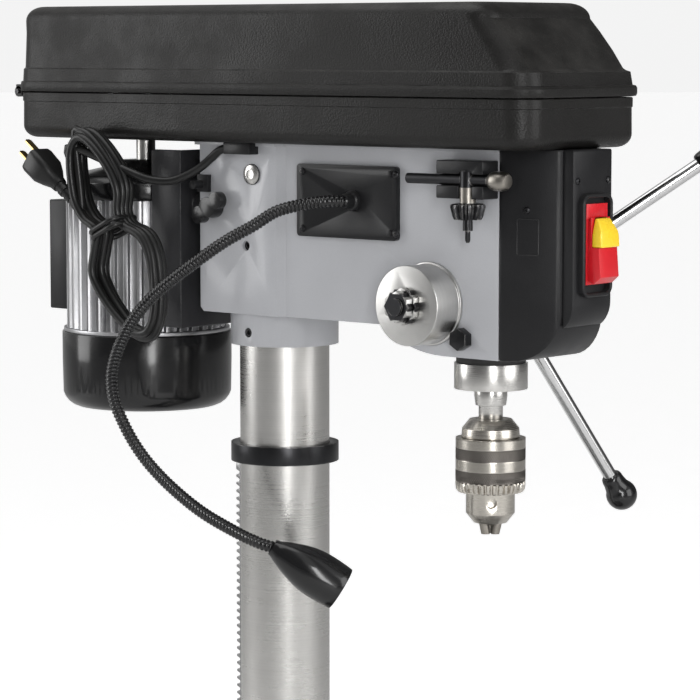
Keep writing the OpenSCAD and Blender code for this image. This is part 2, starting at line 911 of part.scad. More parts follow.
module jaw_1() { jaw(0); }
module jaw_2() { jaw(1); }
module jaw_3() { jaw(2); }

// ---------- feed handle ----------

module feed_shaft() {
    color("#b9bab8") {
        along_x(cap_x - cap_len - nut_len - 2, feed_y, feed_z, small_journal_r,
                cap_len + nut_len - cap_x - 9.5);
        side_shape(-11, 22)
            translate([feed_y, feed_z])
                gear(feed_module, feed_teeth, 180);
        along_x(10.9, feed_y, feed_z, journal_r, hub_x + hub_len - 16);
    }
    color("#1c1c1d")
        difference() {
            union() {
                hex_x(cap_x - cap_len - 5.8, feed_y, feed_z, 25, 5.5);
                hex_x(cap_x - cap_len - nut_len, feed_y, feed_z, 21, 6.5);
            }
            along_x(cap_x - cap_len - nut_len - 1, feed_y, feed_z, small_journal_r, nut_len + 2);
        }
}

function rod_dir(k) = unit([rod_splay, -cos(rod_tilt + 120 * k), sin(rod_tilt + 120 * k)]);
rod_scale = sqrt(1 + rod_splay * rod_splay);

module on_rod(k, reach) {
    translate([hub_origin_x, feed_y, feed_z] + rod_dir(k) * reach * rod_scale)
        aim(rod_dir(k))
            children();
}

module feed_hub() {
    color("#2a2a2b")
        difference() {
            union() {
                along_x(hub_x, feed_y, feed_z, hub_d / 2, hub_len - 4);
                along_x(hub_x, feed_y, feed_z, hub_d / 2 - 4, hub_len);
            }
            along_x(hub_x - 1, feed_y, feed_z, journal_r, hub_len - 4);
            for (k = [0:2])
                on_rod(k, rod_start)
                    cylinder(h = 40, r = rod_d / 2);
        }
}

module feed_rods() {
    color("#cfd0d2")
        for (k = [0:2])
            on_rod(k, rod_start)
                cylinder(h = (rod_reach - 4 - rod_start) * rod_scale, r = rod_d / 2);
}

module feed_knobs() {
    color("#141415")
        for (k = [0:2])
            difference() {
                on_rod(k, rod_reach)
                    rotate_extrude()
                        polygon(concat([[0, -16], [6.5, -16], [8, -14], [10, -6]],
                                       arc([0, 4], 12.6, -30, 90, 8)));
                on_rod(k, rod_start)
                    cylinder(h = (rod_reach - 4 - rod_start) * rod_scale + 0.02, r = rod_d / 2);
            }
}

module depth_ring() {
    color("#b9bab8")
        difference() {
            union() {
                along_x(boss_x + GAP, feed_y, feed_z, 29, ring_t);
                along_y(boss_x + GAP + ring_t / 2, feed_y + 28, feed_z, 2.4, 12);
            }
            along_x(boss_x - 1, feed_y, feed_z, journal_r + 0.1, ring_t + 3);
        }
}

// ---------- motor and belts ----------

module motor_plate() {
    w = plate_w / 2;
    color("#1e1e1f") {
        difference() {
            union() {
                block(-w, w, plate_y, plate_y + plate_t, motor_z0 + 8, head_top - 8);
                for (x = [-w, w - 6])
                    block(x, x + 6, plate_y, plate_y + 33, motor_z0 + 8, head_top - 8);
            }
            for (x = [-bar_x, bar_x])
                along_y(x, plate_y - 1, bar_z, bar_r, plate_t + 2);
        }
    }
    color("#c4c5c7")
        for (x = [-bar_x, bar_x])
            along_y(x, -12, bar_z, bar_r, plate_y + plate_t + 12);
}

module ribbed(r_in, r_out, n) {
    step = 360 / n;
    polygon([for (i = [0:n - 1])
        for (p = [[r_in, -0.5], [r_in, -0.22], [r_out, -0.16], [r_out, 0.16], [r_in, 0.22]])
            [p[0] * cos((i + p[1]) * step), p[0] * sin((i + p[1]) * step)]]);
}

rotor_r = 42;

module motor_body() {
    color("#b9babb")
        translate([0, motor_y, 0])
            difference() {
                union() {
                    translate([0, 0, motor_z0])
                        linear_extrude(motor_len)
                            ribbed(motor_d / 2 - 5, motor_d / 2, 36);
                    block(-34, 34, plate_y + plate_t - motor_y, -40, motor_z0 + 20, motor_z1 - 12);
                    translate([0, 0, motor_z0 - 2])
                        cylinder(h = 3, r = motor_d / 2 + 2.6);
                }
                translate([0, 0, motor_z0 + 9])
                    cylinder(h = motor_len, r = rotor_r + 1);
                translate([0, 0, motor_z0 - 5])
                    cylinder(h = 20, r = motor_shaft_d / 2 + RUN);
            }
}

module motor_covers() {
    r = motor_d / 2 + 4;
    bottom = motor_z0 - 66;
    color("#151516")
        translate([0, motor_y, 0]) {
            difference() {
                rotate_extrude($fn = 96)
                    polygon(concat([[0, motor_z0 - 2.3], [0, bottom], [r - 16, bottom]],
                                   arc([r - 16, bottom + 16], 16, 270, 345, 5),
                                   [[r, bottom + 40], [r, motor_z0 - 2.3]]));
                translate([0, 0, bottom + 4])
                    cylinder(h = 62, r = r - 9);
            }
            difference() {
                rotate_extrude($fn = 96)
                    polygon([[0, motor_z1 + 0.2], [motor_d / 2 - 1, motor_z1 + 0.2],
                             [motor_d / 2 - 1, motor_z1 + 14], [motor_d / 2 - 6, motor_z1 + 20],
                             [30, motor_z1 + 27], [20, motor_z1 + 32], [0, motor_z1 + 32]]);
                translate([0, 0, motor_z1 - 1])
                    cylinder(h = 40, r = motor_shaft_d / 2 + RUN);
            }
        }
}

module motor_box() {
    color("#242425")
        difference() {
            block(-38, 38, motor_y + 50, motor_y + motor_d / 2 + 11.5, motor_z0 + 14, motor_z1 - 3);
            translate([0, motor_y, motor_z0])
                cylinder(h = motor_len, r = motor_d / 2 + 0.05);
        }
}

module motor_shaft() {
    color("#b4b5b8")
        translate([0, motor_y, 0]) {
            translate([0, 0, motor_z0 + 4])
                cylinder(h = head_top + 84 - motor_z0, r = motor_shaft_d / 2);
            translate([0, 0, motor_z0 + 14])
                cylinder(h = motor_len - 24, r = rotor_r);
        }
}

// Step pulley: radii from the lowest step up, each with one V-groove
module pulley(radii, bore) {
    n = len(radii);
    wall = (step_h - groove_w) / 2;
    outline = [for (k = [0:n - 1])
        for (p = [[0, 0], [0, wall - 1.5], [-groove_depth, wall], [-groove_depth, step_h - wall],
                  [0, step_h - wall + 1.5], [0, step_h]])
            [radii[k] + p[0], k * step_h + p[1]]];
    difference() {
        rotate_extrude($fn = 96)
            polygon(concat([[0, 0]], outline, [[0, n * step_h]]));
        translate([0, 0, -1])
            cylinder(h = n * step_h + 2, r = bore);
    }
}

function reversed(v) = [for (k = [len(v) - 1:-1:0]) v[k]];

module motor_pulley() {
    color("#a9abae")
        translate([0, motor_y, pulley_z])
            pulley(step_r, motor_shaft_d / 2);
}

module idler_arm() {
    color("#8e9093")
        difference() {
            union() {
                translate([0, 0, head_top + 4.5])
                    linear_extrude(6)
                        union() {
                            translate([idler_pivot_x, idler_y])
                                circle(13);
                            translate([idler_x, idler_y])
                                circle(13);
                            translate([(idler_x + idler_pivot_x) / 2, idler_y])
                                square([abs(idler_pivot_x - idler_x), 26], center = true);
                        }
                translate([idler_pivot_x, idler_y, head_top - 23])
                    cylinder(h = 29, r = 8);
                translate([idler_x, idler_y, head_top + 8])
                    cylinder(h = 74, r = 6);
            }
        }
}

module idler_pulley() {
    color("#a9abae")
        translate([idler_x, idler_y, pulley_z])
            pulley(reversed(step_r), 6 + RUN);
}

module spindle_pulley() {
    color("#a9abae")
        translate([0, spindle_y, pulley_z])
            pulley(step_r, sleeve_r);
    color("#b4b5b8")
        difference() {
            translate([0, spindle_y, bearing_z])
                cylinder(h = sleeve_top - bearing_z, r = sleeve_r);
            translate([0, spindle_y, bearing_z - 1])
                linear_extrude(sleeve_top - bearing_z + 2)
                    spline(spline_r + 0.25, spline_root + 0.25, 2.25);
        }
}

// Loop round two circles: one side of a belt
module belt_line(y1, r1, y2, r2) {
    tilt = asin((r1 - r2) / (y2 - y1));
    polygon(concat(arc([0, y1], r1, 180 - tilt, 360 + tilt, 32),
                   arc([0, y2], r2, tilt, 180 - tilt, 32)));
}

module belt(y1, r1, y2, r2, level) {
    inner = groove_depth - 0.5;
    outer = inner - belt_t;
    translate([0, 0, pulley_z + (level + 0.5) * step_h - belt_w / 2])
        linear_extrude(belt_w)
            difference() {
                belt_line(y1, r1 - outer, y2, r2 - outer);
                belt_line(y1, r1 - inner, y2, r2 - inner);
            }
}

module drive_belts() {
    color("#202021") {
        belt(spindle_y, step_r[1], idler_y, step_r[2], 1);
        belt(idler_y, step_r[0], motor_y, step_r[3], 3);
    }
}

module wing_knob() {
    x = -head_rear_w / 2;
    color("#18181a") {
        along_x(-bar_x - bar_r - 0.4 - (head_rear_w / 2 - bar_x - bar_r), 32.5, bar_z, 4.9,
                head_rear_w / 2 - bar_x - bar_r);
        along_x(x - 12, 32.5, bar_z, 8.5, 11.6);
        translate([x - 12, 32.5, bar_z])
            rotate([-33, 0, 0])
                for (s = [-1, 1]) {
                    along_x(0, s * 11, 0, 7, 7);
                    translate([0, min(0, s * 11), -4])
                        cube([7, 11, 8]);
                }
    }
}

// ---------- guard ----------

guard_mid = (guard_back + guard_front) / 2;
guard_len = guard_back - guard_front;

module slice(z, side, front, back, r) {
    w = guard_w - 2 * side;
    l = guard_len - front - back;
    translate([0, guard_mid + (front - back) / 2, z])
        linear_extrude(0.5)
            rounded(w, l, r, $fn = 32);
}

module shelf(z, inset, r, h) {
    translate([0, guard_mid, z])
        linear_extrude(h)
            rounded(guard_w - 2 * inset, guard_len - 2 * inset, r);
}

module guard_pan() {
    color("#2a2a2b") {
        difference() {
            union() {
                shelf(head_top, 9, 14, 4);
                shelf(head_top + 2, 4.5, 17, 6);
                shelf(head_top + 5, 1, 21, pan_h - 5);
            }
            shelf(head_top + 3, 12, 11, 6);
            shelf(head_top + 8, 1 + guard_t, 19, pan_h);
            translate([0, spindle_y, head_top - 1])
                cylinder(h = 10, r = 24);
            translate([idler_pivot_x, idler_y, head_top - 1])
                cylinder(h = 10, r = 10);
            translate([0, motor_y - slack_travel / 2, head_top - 1])
                linear_extrude(10)
                    rounded(motor_shaft_d + 10, motor_shaft_d + 12 + slack_travel, 8);
        }
        for (x = [-45, 45])
            difference() {
                union() {
                    along_x(x - 9, hinge_y, hinge_z, 4.5, 18);
                    block(x - 9, x + 9, guard_back - 1 - guard_t / 2, hinge_y,
                          hinge_z - 4.5, hinge_z - 1);
                }
                along_x(x - 10, hinge_y, hinge_z, 2 + RUN, 20);
            }
    }
}

module guard_lid() {
    color("#2a2a2b") {
        difference() {
            union() {
                hull() {
                    slice(seam_z + 0.3, -1.5, -1.5, -0.5, 23);
                    slice(seam_z + 8, -1.5, -1.5, -0.5, 23);
                }
                hull() {
                    slice(seam_z + 8, 0.5, 1, 1, 22);
                    slice(lid_top - 22, 2.5, 30, 3, 20);
                    slice(lid_top - 6, 6, 46, 7, 17);
                    slice(lid_top - 0.5, 13, 54, 14, 12);
                }
            }
            hull() {
                slice(seam_z - 1, 1 + guard_t, 1 + guard_t, 1 + guard_t, 19);
                slice(seam_z + 8, 1 + guard_t, 2 + guard_t, 1 + guard_t, 19);
                slice(lid_top - 24, 3 + guard_t, 31 + guard_t, 4 + guard_t, 17);
                slice(lid_top - guard_t, 13 + guard_t, 54 + guard_t, 14 + guard_t, 9);
            }
        }
        for (x = [-45, 45]) {
            along_x(x - 16, hinge_y, hinge_z, 2, 32);
            for (s = [-16, 9.5])
                difference() {
                    union() {
                        along_x(x + s, hinge_y, hinge_z, 4.5, 6.5);
                        block(x + s, x + s + 6.5, guard_back - 1, hinge_y + 3,
                              hinge_z + 1.5, hinge_z + 6);
                    }
                    along_x(x + s - 1, hinge_y, hinge_z, 2, 9);
                }
        }
    }
}

// ---------- table ----------

lift_pitch = PI * lift_module;

module rack() {
    n = floor((ring_z0 - 14 - lift_z) / lift_pitch);
    m = floor((lift_z - rack_z0 - 8) / lift_pitch);
    color("#8b8d90") {
        difference() {
            block(-rack_half_w, rack_half_w, rack_y0, rack_pitch_y + 0.8 * lift_module,
                  rack_z0, ring_z0 - 6);
            for (k = [-m:n])
                side_shape(-rack_half_w - 1, 2 * rack_half_w + 2)
                    translate([rack_pitch_y, lift_z + (k + 0.5) * lift_pitch])
                        rack_space(lift_module, 1.8);
        }
        intersection() {
            block(-rack_half_w, rack_half_w, rack_y0, rack_pitch_y, ring_z0 - 6.5, ring_z0 + 5);
            translate([0, 0, ring_z0 - 7])
                cylinder(h = 12, r1 = column_r + 9.5, r2 = column_r + 1.1, $fn = 96);
        }
    }
}

module table_bracket() {
    arm_top = tilt_z + 27;
    color("#2c2d30")
        difference() {
            union() {
                translate([0, 0, bracket_z0])
                    cylinder(h = bracket_z1 - bracket_z0, r = bracket_r, $fn = 96);
                block(-22, 22, tilt_face_y + 8, -column_r - 6, tilt_z - 27, arm_top);
                along_y(0, tilt_face_y, tilt_z, 32, 14);
                block(-30, 30, column_r + 4, lift_y + lift_journal_r + 6, lift_z - 22, lift_z + 22);
                block(-bracket_r - 20, -column_r - 6, -14, 14, bracket_z0 + 20, bracket_z1 - 20);
            }
            translate([0, 0, bracket_z0 - 1])
                cylinder(h = bracket_z1 - bracket_z0 + 2, r = column_r + RUN, $fn = 96);
            block(-rack_half_w - 0.4, rack_half_w + 0.4, 0, rack_pitch_y + 0.8 * lift_module + 0.4,
                  bracket_z0 - 1, bracket_z1 + 1);
            along_x(-rack_half_w - 4, lift_y, lift_z, lift_journal_r + RUN, 60);
            along_x(-40, lift_y, lift_z, 7 + RUN, 60);
            along_y(0, tilt_face_y - 1, tilt_z, pin_r + RUN, 40);
            block(-bracket_r - 21, -column_r + 6, -2, 2, bracket_z0 - 1, bracket_z1 + 1);
            along_y(-bracket_r - 10, -20, (bracket_z0 + bracket_z1) / 2, 5 + RUN, 40);
        }
}

module lift_pinion() {
    color("#9a9ca0") {
        along_x(-34, lift_y, lift_z, 7, 34 - rack_half_w - 3.2);
        side_shape(-rack_half_w - 3.3, 2 * rack_half_w + 5.3)
            translate([lift_y, lift_z])
                gear(lift_module, lift_teeth, 180);
        along_x(rack_half_w + 1.9, lift_y, lift_z, lift_journal_r, 20);
        along_x(rack_half_w + 21, lift_y, lift_z, 8, crank_x + 12 - rack_half_w - 21);
    }
}

module crank() {
    color("#2a2a2b")
        difference() {
            union() {
                along_x(crank_x, lift_y, lift_z, 14, 12);
                along_x(crank_x + 2, lift_y, lift_z - crank_len, 9, 8);
                block(crank_x + 2, crank_x + 10, lift_y - 8, lift_y + 8, lift_z - crank_len, lift_z);
            }
            along_x(crank_x - 1, lift_y, lift_z, 8, 14);
        }
    color("#141415")
        translate([crank_x + 10.02, lift_y, lift_z - crank_len])
            rotate([0, 90, 0])
                rotate_extrude()
                    polygon(concat([[0, 0], [7, 0], [9, 8], [11, 24]], arc([0, 32], 11.6, 0, 90, 6)));
}

module lever(len) {
    cylinder(h = len, r = 4.5);
    translate([0, 0, len + 6])
        sphere(9.5);
}

module column_lock() {
    x = -bracket_r - 10;
    z = (bracket_z0 + bracket_z1) / 2;
    color("#1c1c1d") {
        along_y(x, -26, z, 5, 46);
        along_y(x, -30, z, 10, 15.5);
        translate([x, -22, z])
            rotate([18, -62, 0])
                lever(58);
    }
}

yoke_z0 = tilt_z - 32;
yoke_z1 = table_z - rim_h - 4;

module table_yoke() {
    color("#2c2d30")
        difference() {
            union() {
                along_y(0, tilt_face_y - 12, tilt_z, 32, 12 - GAP);
                along_y(0, tilt_face_y - 6, tilt_z, pin_r, 40);
                block(-20, 20, spindle_y, tilt_face_y - 6, tilt_z - 24, tilt_z + 24);
                translate([0, spindle_y, yoke_z0])
                    cylinder(h = yoke_z1 - yoke_z0, r = stem_r + 12);
            }
            translate([0, spindle_y, yoke_z0 - 1])
                cylinder(h = yoke_z1 - yoke_z0 + 2, r = stem_r + RUN);
            along_x(0, spindle_y, tilt_z, 5 + RUN, 40);
        }
}

module table_lock() {
    x = stem_r + 0.4;
    color("#1c1c1d") {
        along_x(x, spindle_y, tilt_z, 5, 22);
        along_x(stem_r + 12.4, spindle_y, tilt_z, 10, 14);
        translate([stem_r + 20, spindle_y, tilt_z])
            rotate([0, -18, 0])
                rotate([125, 0, 0])
                    lever(50);
    }
}

module table() {
    slot_mid = table_size / 2 - 45;
    color("#8d9196")
        translate([0, spindle_y, 0])
            difference() {
                union() {
                    translate([0, 0, table_z - table_t])
                        linear_extrude(table_t)
                            rounded(table_size, table_size, 24);
                    translate([0, 0, table_z - rim_h])
                        linear_extrude(rim_h - 1)
                            difference() {
                                rounded(table_size, table_size, 24);
                                rounded(table_size - 20, table_size - 20, 16);
                            }
                    translate([0, 0, yoke_z1 + GAP])
                        cylinder(h = table_z - yoke_z1 - GAP - 1, r = stem_r + 14);
                    translate([0, 0, yoke_z0 - 4])
                        cylinder(h = table_z - yoke_z0, r = stem_r);
                }
                translate([0, 0, yoke_z0 - 5])
                    cylinder(h = table_z - yoke_z0 + 6, d = table_hole_d);
                for (a = [0:90:270])
                    rotate(a)
                        translate([slot_mid, 0, table_z - table_t - 1])
                            linear_extrude(table_t + 2)
                                rotate(90)
                                    slot(14, 70);
            }
}

// ---------- lamp ----------

arm_end = ARM_ROOT + ARM[len(ARM) - 1];
arm_curve = smooth([for (p = ARM) ARM_ROOT + p], 3);
arm_line = concat([for (i = [0:len(arm_curve) - 3]) arm_curve[i]],
                  [arm_end - unit(LAMP_DIR) * 2, arm_end]);

module gooseneck() {
    color("#131314") {
        tube(arm_line, arm_d / 2, 10, [0, 0, 1]);
        along_x(lamp_x - 10.5, ARM_ROOT[1], ARM_ROOT[2], 8, 5.2);
        along_x(lamp_x - 5.5, ARM_ROOT[1], ARM_ROOT[2], 6, 3.4);
    }
}

module lamp_head() {
    color("#131314")
        translate(arm_end)
            aim(LAMP_DIR)
                difference() {
                    rotate_extrude($fn = 64)
                        polygon([[0, 0], [7, 0], [8.5, 4], [12, 12], [15, 21], [lamp_d / 2 - 1, 31],
                                 [lamp_d / 2, 41], [lamp_d / 2, lamp_len - 12],
                                 [lamp_d / 2 - 1, lamp_len], [0, lamp_len]]);
                    translate([0, 0, 30])
                        cylinder(h = lamp_len, r1 = 10.5, r2 = lamp_d / 2 + 3.5);
                }
}

// ---------- power cord ----------

module cord_clips() {
    x = -head_rear_w / 2;
    color("#161617") {
        block(x - 11, x, -14, 14, head_top - 9.5, head_top - 3.2);
        block(x - 11, x - 3.3, -14, 14, head_top - 4, head_top - 0.3);
        block(x - 4, x, TIE_POST[1] - 8, TIE_POST[1] + 4, TIE_POST[2] - 6, TIE_POST[2] + 8);
        along_x(TIE_POST[0] - 4, TIE_POST[1], TIE_POST[2], 3.5, x + 4 - TIE_POST[0]);
    }
}

module cord_lead() {
    color("#121213")
        tube(smooth(LEAD, 2), cord_d / 2, 10, [1, 0, 0]);
}

module cord_tail() {
    color("#121213")
        tube(smooth(TAIL, 2), cord_d / 2, 10, [1, 0, 0]);
}

waist_dir = unit([hank_low[0] - hank_top[0], hank_low[1] - hank_top[1]]);
waist_side = [-waist_dir[1], waist_dir[0]] * waist_half;

// Outline of the tied hank, in Y and Z: two round lobes joined at the waist
module hank_outline() {
    lean = atan2(-waist_dir[1], -waist_dir[0]);
    a = asin(waist_half / hank_top[2]);
    b = asin(waist_half / hank_low[2]);
    polygon(concat(arc([hank_top[0], hank_top[1]], hank_top[2], lean - 180 + a, lean + 180 - a, 24),
                   arc([hank_low[0], hank_low[1]], hank_low[2], lean + b, lean + 360 - b, 24)));
}

module cord_hank() {
    color("#121213")
        side_shape(hank_x0, hank_t)
            hank_outline();
}

module cord_tie() {
    mid = [(hank_top[0] + hank_low[0]) / 2, (hank_top[1] + hank_low[1]) / 2];
    color("#19191a")
        difference() {
            side_shape(hank_x0 - 2, hank_t + 4)
                polygon([for (a = [-1, 1]) for (b = [-1, 1])
                    mid + waist_dir * a * 6 + waist_side * (a * b) * 1.14]);
            cord_hank();
        }
}

plug_at = TAIL[len(TAIL) - 1];

module plug() {
    color("#151516")
        translate(plug_at)
            aim(PLUG_DIR) {
                rotate_extrude()
                    polygon([[0, 0], [4.6, 0], [6.5, 24], [0, 24]]);
                hull()
                    for (z = [24, 52])
                        translate([0, 0, z])
                            linear_extrude(z == 24 ? 1 : 2)
                                rounded(z == 24 ? 14 : 24, z == 24 ? 14 : 22, 5, $fn = 32);
            }
    color("#c9b27a")
        translate(plug_at)
            aim(PLUG_DIR)
                for (s = [-1, 1])
                    translate([-3.2, s * 6 - 0.8, 53.9])
                        cube([6.4, 1.6, 17]);
}

base();
column_flange();
fasteners();
column();
rack_ring();
head();
front_cover();
switch_panel();
switch_housing();
lamp_plate();
key_holder();
spring_cap();
return_spring();
guard_pan();
pulley_bearings();
drive_belts();
cord_clips();
cord_lead();
cord_hank();
cord_tie();
cord_tail();
plug();
rack();
table_bracket();
lift_pinion();
crank();
column_lock();
table_yoke();
table_lock();
table();
quill();
quill_bumper();
spindle_bearings();
spindle();
chuck_body();
chuck_sleeve();
jaw_1();
jaw_2();
jaw_3();
feed_shaft();
feed_hub();
feed_rods();
feed_knobs();
depth_ring();
motor_plate();
motor_body();
motor_covers();
motor_box();
motor_shaft();
motor_pulley();
idler_arm();
idler_pulley();
spindle_pulley();
wing_knob();
guard_lid();
switch_paddle();
switch_key();
chuck_key();
gooseneck();
lamp_head();
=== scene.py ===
"""Looks of the bench drill press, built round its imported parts. Lengths are in metres."""

import math

import bmesh
import bpy
from bpy.props import FloatProperty, FloatVectorProperty, IntProperty, PointerProperty
from mathutils import Matrix, Vector


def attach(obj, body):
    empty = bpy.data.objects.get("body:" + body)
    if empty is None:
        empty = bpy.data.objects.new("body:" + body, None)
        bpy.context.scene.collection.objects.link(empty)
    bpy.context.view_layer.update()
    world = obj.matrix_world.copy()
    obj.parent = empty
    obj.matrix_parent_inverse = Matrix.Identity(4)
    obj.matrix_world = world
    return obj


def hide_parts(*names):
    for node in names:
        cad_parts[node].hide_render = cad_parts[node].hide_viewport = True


bl_info = {
    "name": "Bench Drill Press",
    "version": (1, 0, 0),
    "blender": (4, 5, 0),
    "location": "3D View > Sidebar > Drill Press",
    "description": "Builds the finished surfaces of a bench drill press round its packed parts",
    "category": "Object",
}

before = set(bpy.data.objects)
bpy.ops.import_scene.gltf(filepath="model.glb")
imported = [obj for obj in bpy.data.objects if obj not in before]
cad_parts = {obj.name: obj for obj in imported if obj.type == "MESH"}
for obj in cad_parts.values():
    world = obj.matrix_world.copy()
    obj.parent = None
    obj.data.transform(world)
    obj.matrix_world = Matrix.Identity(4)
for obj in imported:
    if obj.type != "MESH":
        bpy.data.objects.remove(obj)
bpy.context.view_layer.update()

MM = 0.001
ALONG_X, ALONG_Y, ALONG_Z = (Vector(way) for way in ((1, 0, 0), (0, 1, 0), (0, 0, 1)))
SPINDLE = Vector((0.0, -0.214, 0.0))
FEED_AXIS = Vector((0.0, -0.18725, 0.784))
MOTOR_AXIS = Vector((0.0, 0.158, 0.0))
PANEL_FRONT = -0.3095
GUARD_FRONT = -0.303
GUARD_BACK = 0.243
HINGE_XS = (-0.045, 0.045)
HINGE_Y = 0.249
HINGE_Z = 0.941
KEY_X, KEY_Y, KEY_BAR_Z = -0.056, -0.2355, 0.880
FLOOR_GLOW = 0.62

# Route of the flexible arm, from its root on the lamp plate to the lamp head
ARM_ROOT = (-47.0, -113.5, 860.0)
ARM = [(0, 0, 0), (-8, 0, 0), (-16, 8, 0), (-24, 24, -2), (-35, 46, -8), (-44, 64, -20),
       (-53, 82, -31), (-61, 100, -44), (-69, 120, -59), (-76, 142, -77), (-80, 160, -96),
       (-82, 172, -115), (-83, 179, -131), (-83, 182, -146), (-82, 180, -163), (-80, 173, -179),
       (-77, 163, -196), (-74, 149, -212), (-71, 127, -229), (-67, 98, -246), (-62, 66, -259),
       (-57, 46, -266), (-52, 36, -269)]
LAMP_DIR = Vector((0.56, -0.64, -0.53)).normalized()

# Route of the power cord: from the clip to the hank, and from the hank to the plug
LEAD = [(-52, 14, 898), (-53, 22, 896), (-55, 29, 890), (-60, 37, 882), (-66, 48, 875),
        (-72, 60, 871), (-79, 75, 872), (-84, 90, 877)]
TAIL = [(-92, 140, 846), (-90, 148, 847), (-87, 155, 850), (-85, 160, 854)]
PLUG_DIR = Vector((0, 0.80, 0.60)).normalized()


# ---------- settings ----------

class PressSettings(bpy.types.PropertyGroup):
    edge_round: FloatProperty(
        name="Edge rounding", description="Radius of the rounded edges of castings and covers",
        default=0.0012, min=0.0002, max=0.003, unit="LENGTH")
    rib_pitch: FloatProperty(
        name="Arm rib pitch", description="Distance from rib to rib along the flexible arm",
        default=0.0032, min=0.002, max=0.006, unit="LENGTH")
    knurl_teeth: IntProperty(
        name="Knurls", description="Knurls round the chuck's sleeve", default=96, min=48, max=140)
    turns: IntProperty(
        name="Cord turns", description="Turns of cord in the tied hank", default=5, min=4, max=6)


class PaintSettings(bpy.types.PropertyGroup):
    head: FloatVectorProperty(
        name="Head paint", description="Colour of the painted head casting", subtype="COLOR",
        default=(0.40, 0.405, 0.425), size=3, min=0, max=1)
    switch: FloatVectorProperty(
        name="Switch red", description="Colour of the switch and its paddle", subtype="COLOR",
        default=(0.60, 0.012, 0.02), size=3, min=0, max=1)
    key: FloatVectorProperty(
        name="Key yellow", description="Colour of the safety key", subtype="COLOR",
        default=(0.90, 0.62, 0.03), size=3, min=0, max=1)
    floor: FloatVectorProperty(
        name="Floor", description="Colour of the studio floor", subtype="COLOR",
        default=(0.86, 0.86, 0.86), size=3, min=0, max=1)


# ---------- shader node groups ----------

def _group(name, inputs, outputs):
    """A new shader group: inputs are names with their default values, outputs are names of numbers."""
    tree = bpy.data.node_groups.new(name, "ShaderNodeTree")
    for label, default in inputs:
        kind = "NodeSocketVector" if isinstance(default, tuple) else "NodeSocketFloat"
        tree.interface.new_socket(name=label, in_out="INPUT", socket_type=kind).default_value = default
    for label in outputs:
        tree.interface.new_socket(name=label, in_out="OUTPUT", socket_type="NodeSocketFloat")
    return tree, tree.nodes.new("NodeGroupInput"), tree.nodes.new("NodeGroupOutput")


def _feed(tree, node, values):
    """Gives a node's first sockets their values: a socket to link, or a number or vector to set."""
    for socket, value in zip(node.inputs, values):
        if isinstance(value, bpy.types.NodeSocket):
            tree.links.new(value, socket)
        elif value is not None:
            socket.default_value = value


def _math(tree, operation, a, b=None, clamp=False):
    node = tree.nodes.new("ShaderNodeMath")
    node.operation = operation
    node.use_clamp = clamp
    _feed(tree, node, (a, b))
    return node.outputs[0]


def _vector(tree, operation, a, b=None, out=0):
    node = tree.nodes.new("ShaderNodeVectorMath")
    node.operation = operation
    _feed(tree, node, (a, b))
    return node.outputs[out]


def _noise(tree, vector, scale, detail=3.0, rough=0.55):
    node = tree.nodes.new("ShaderNodeTexNoise")
    node.inputs["Detail"].default_value = detail
    node.inputs["Roughness"].default_value = rough
    tree.links.new(scale, node.inputs["Scale"])
    tree.links.new(vector, node.inputs["Vector"])
    return node.outputs["Fac"]


def _ramp(tree, value, low, high):
    node = tree.nodes.new("ShaderNodeMapRange")
    node.interpolation_type = "SMOOTHSTEP"
    node.inputs["From Min"].default_value = low
    node.inputs["From Max"].default_value = high
    tree.links.new(value, node.inputs["Value"])
    return node.outputs["Result"]


def _place(tree):
    return tree.nodes.new("ShaderNodeTexCoord").outputs["Object"]


def rubbed_edge_and_highlight_group():
    """Mask of rubbed edges, and on the black iron also of painted edge highlights: where the surface turns
    sharply, broken up by noise.
    """
    tree, g_in, g_out = _group(
        "Rubbed edge and highlight", [("Radius", 0.0015), ("Breakup", 140.0), ("Amount", 0.5)], ["Mask"])
    bevel = tree.nodes.new("ShaderNodeBevel")
    bevel.samples = 4
    tree.links.new(g_in.outputs["Radius"], bevel.inputs["Radius"])
    place = _place(tree)
    normal = tree.nodes.new("ShaderNodeNewGeometry").outputs["Normal"]
    turn = _math(tree, "SUBTRACT", 1.0, _vector(tree, "DOT_PRODUCT", bevel.outputs[0], normal, out=1))
    edge = _ramp(tree, turn, 0.02, 0.16)
    broken = _ramp(tree, _noise(tree, place, g_in.outputs["Breakup"]), 0.42, 0.62)
    mask = _math(tree, "MULTIPLY", edge, broken)
    amount = _math(tree, "MULTIPLY", mask, g_in.outputs["Amount"], clamp=True)
    tree.links.new(amount, g_out.inputs["Mask"])
    return tree


def grain_group():
    """Fine and broad variation over a surface: a tone for colour and a height for bump."""
    tree, g_in, g_out = _group(
        "Grain", [("Fine scale", 900.0), ("Broad scale", 14.0)], ["Tone", "Height", "Smudge"])
    place = _place(tree)
    fine = _noise(tree, place, g_in.outputs["Fine scale"], 2.0, 0.5)
    broad = _noise(tree, place, g_in.outputs["Broad scale"], 4.0, 0.6)
    tone = _math(tree, "ADD", _math(tree, "MULTIPLY", fine, 0.35), _math(tree, "MULTIPLY", broad, 0.65))
    tree.links.new(tone, g_out.inputs["Tone"])
    tree.links.new(fine, g_out.inputs["Height"])
    tree.links.new(_ramp(tree, broad, 0.38, 0.66), g_out.inputs["Smudge"])
    return tree


def dust_group():
    """Mask of settled dust: strongest on faces that look up."""
    tree, g_in, g_out = _group("Dust", [("Amount", 0.3), ("Patch scale", 30.0)], ["Mask"])
    normal = tree.nodes.new("ShaderNodeNewGeometry").outputs["Normal"]
    place = _place(tree)
    up = _ramp(tree, _vector(tree, "DOT_PRODUCT", normal, (0, 0, 1), out=1), 0.35, 1.0)
    patch = _ramp(tree, _noise(tree, place, g_in.outputs["Patch scale"], 5.0, 0.65), 0.3, 0.75)
    mask = _math(tree, "MULTIPLY", _math(tree, "MULTIPLY", up, patch), g_in.outputs["Amount"], clamp=True)
    tree.links.new(mask, g_out.inputs["Mask"])
    return tree


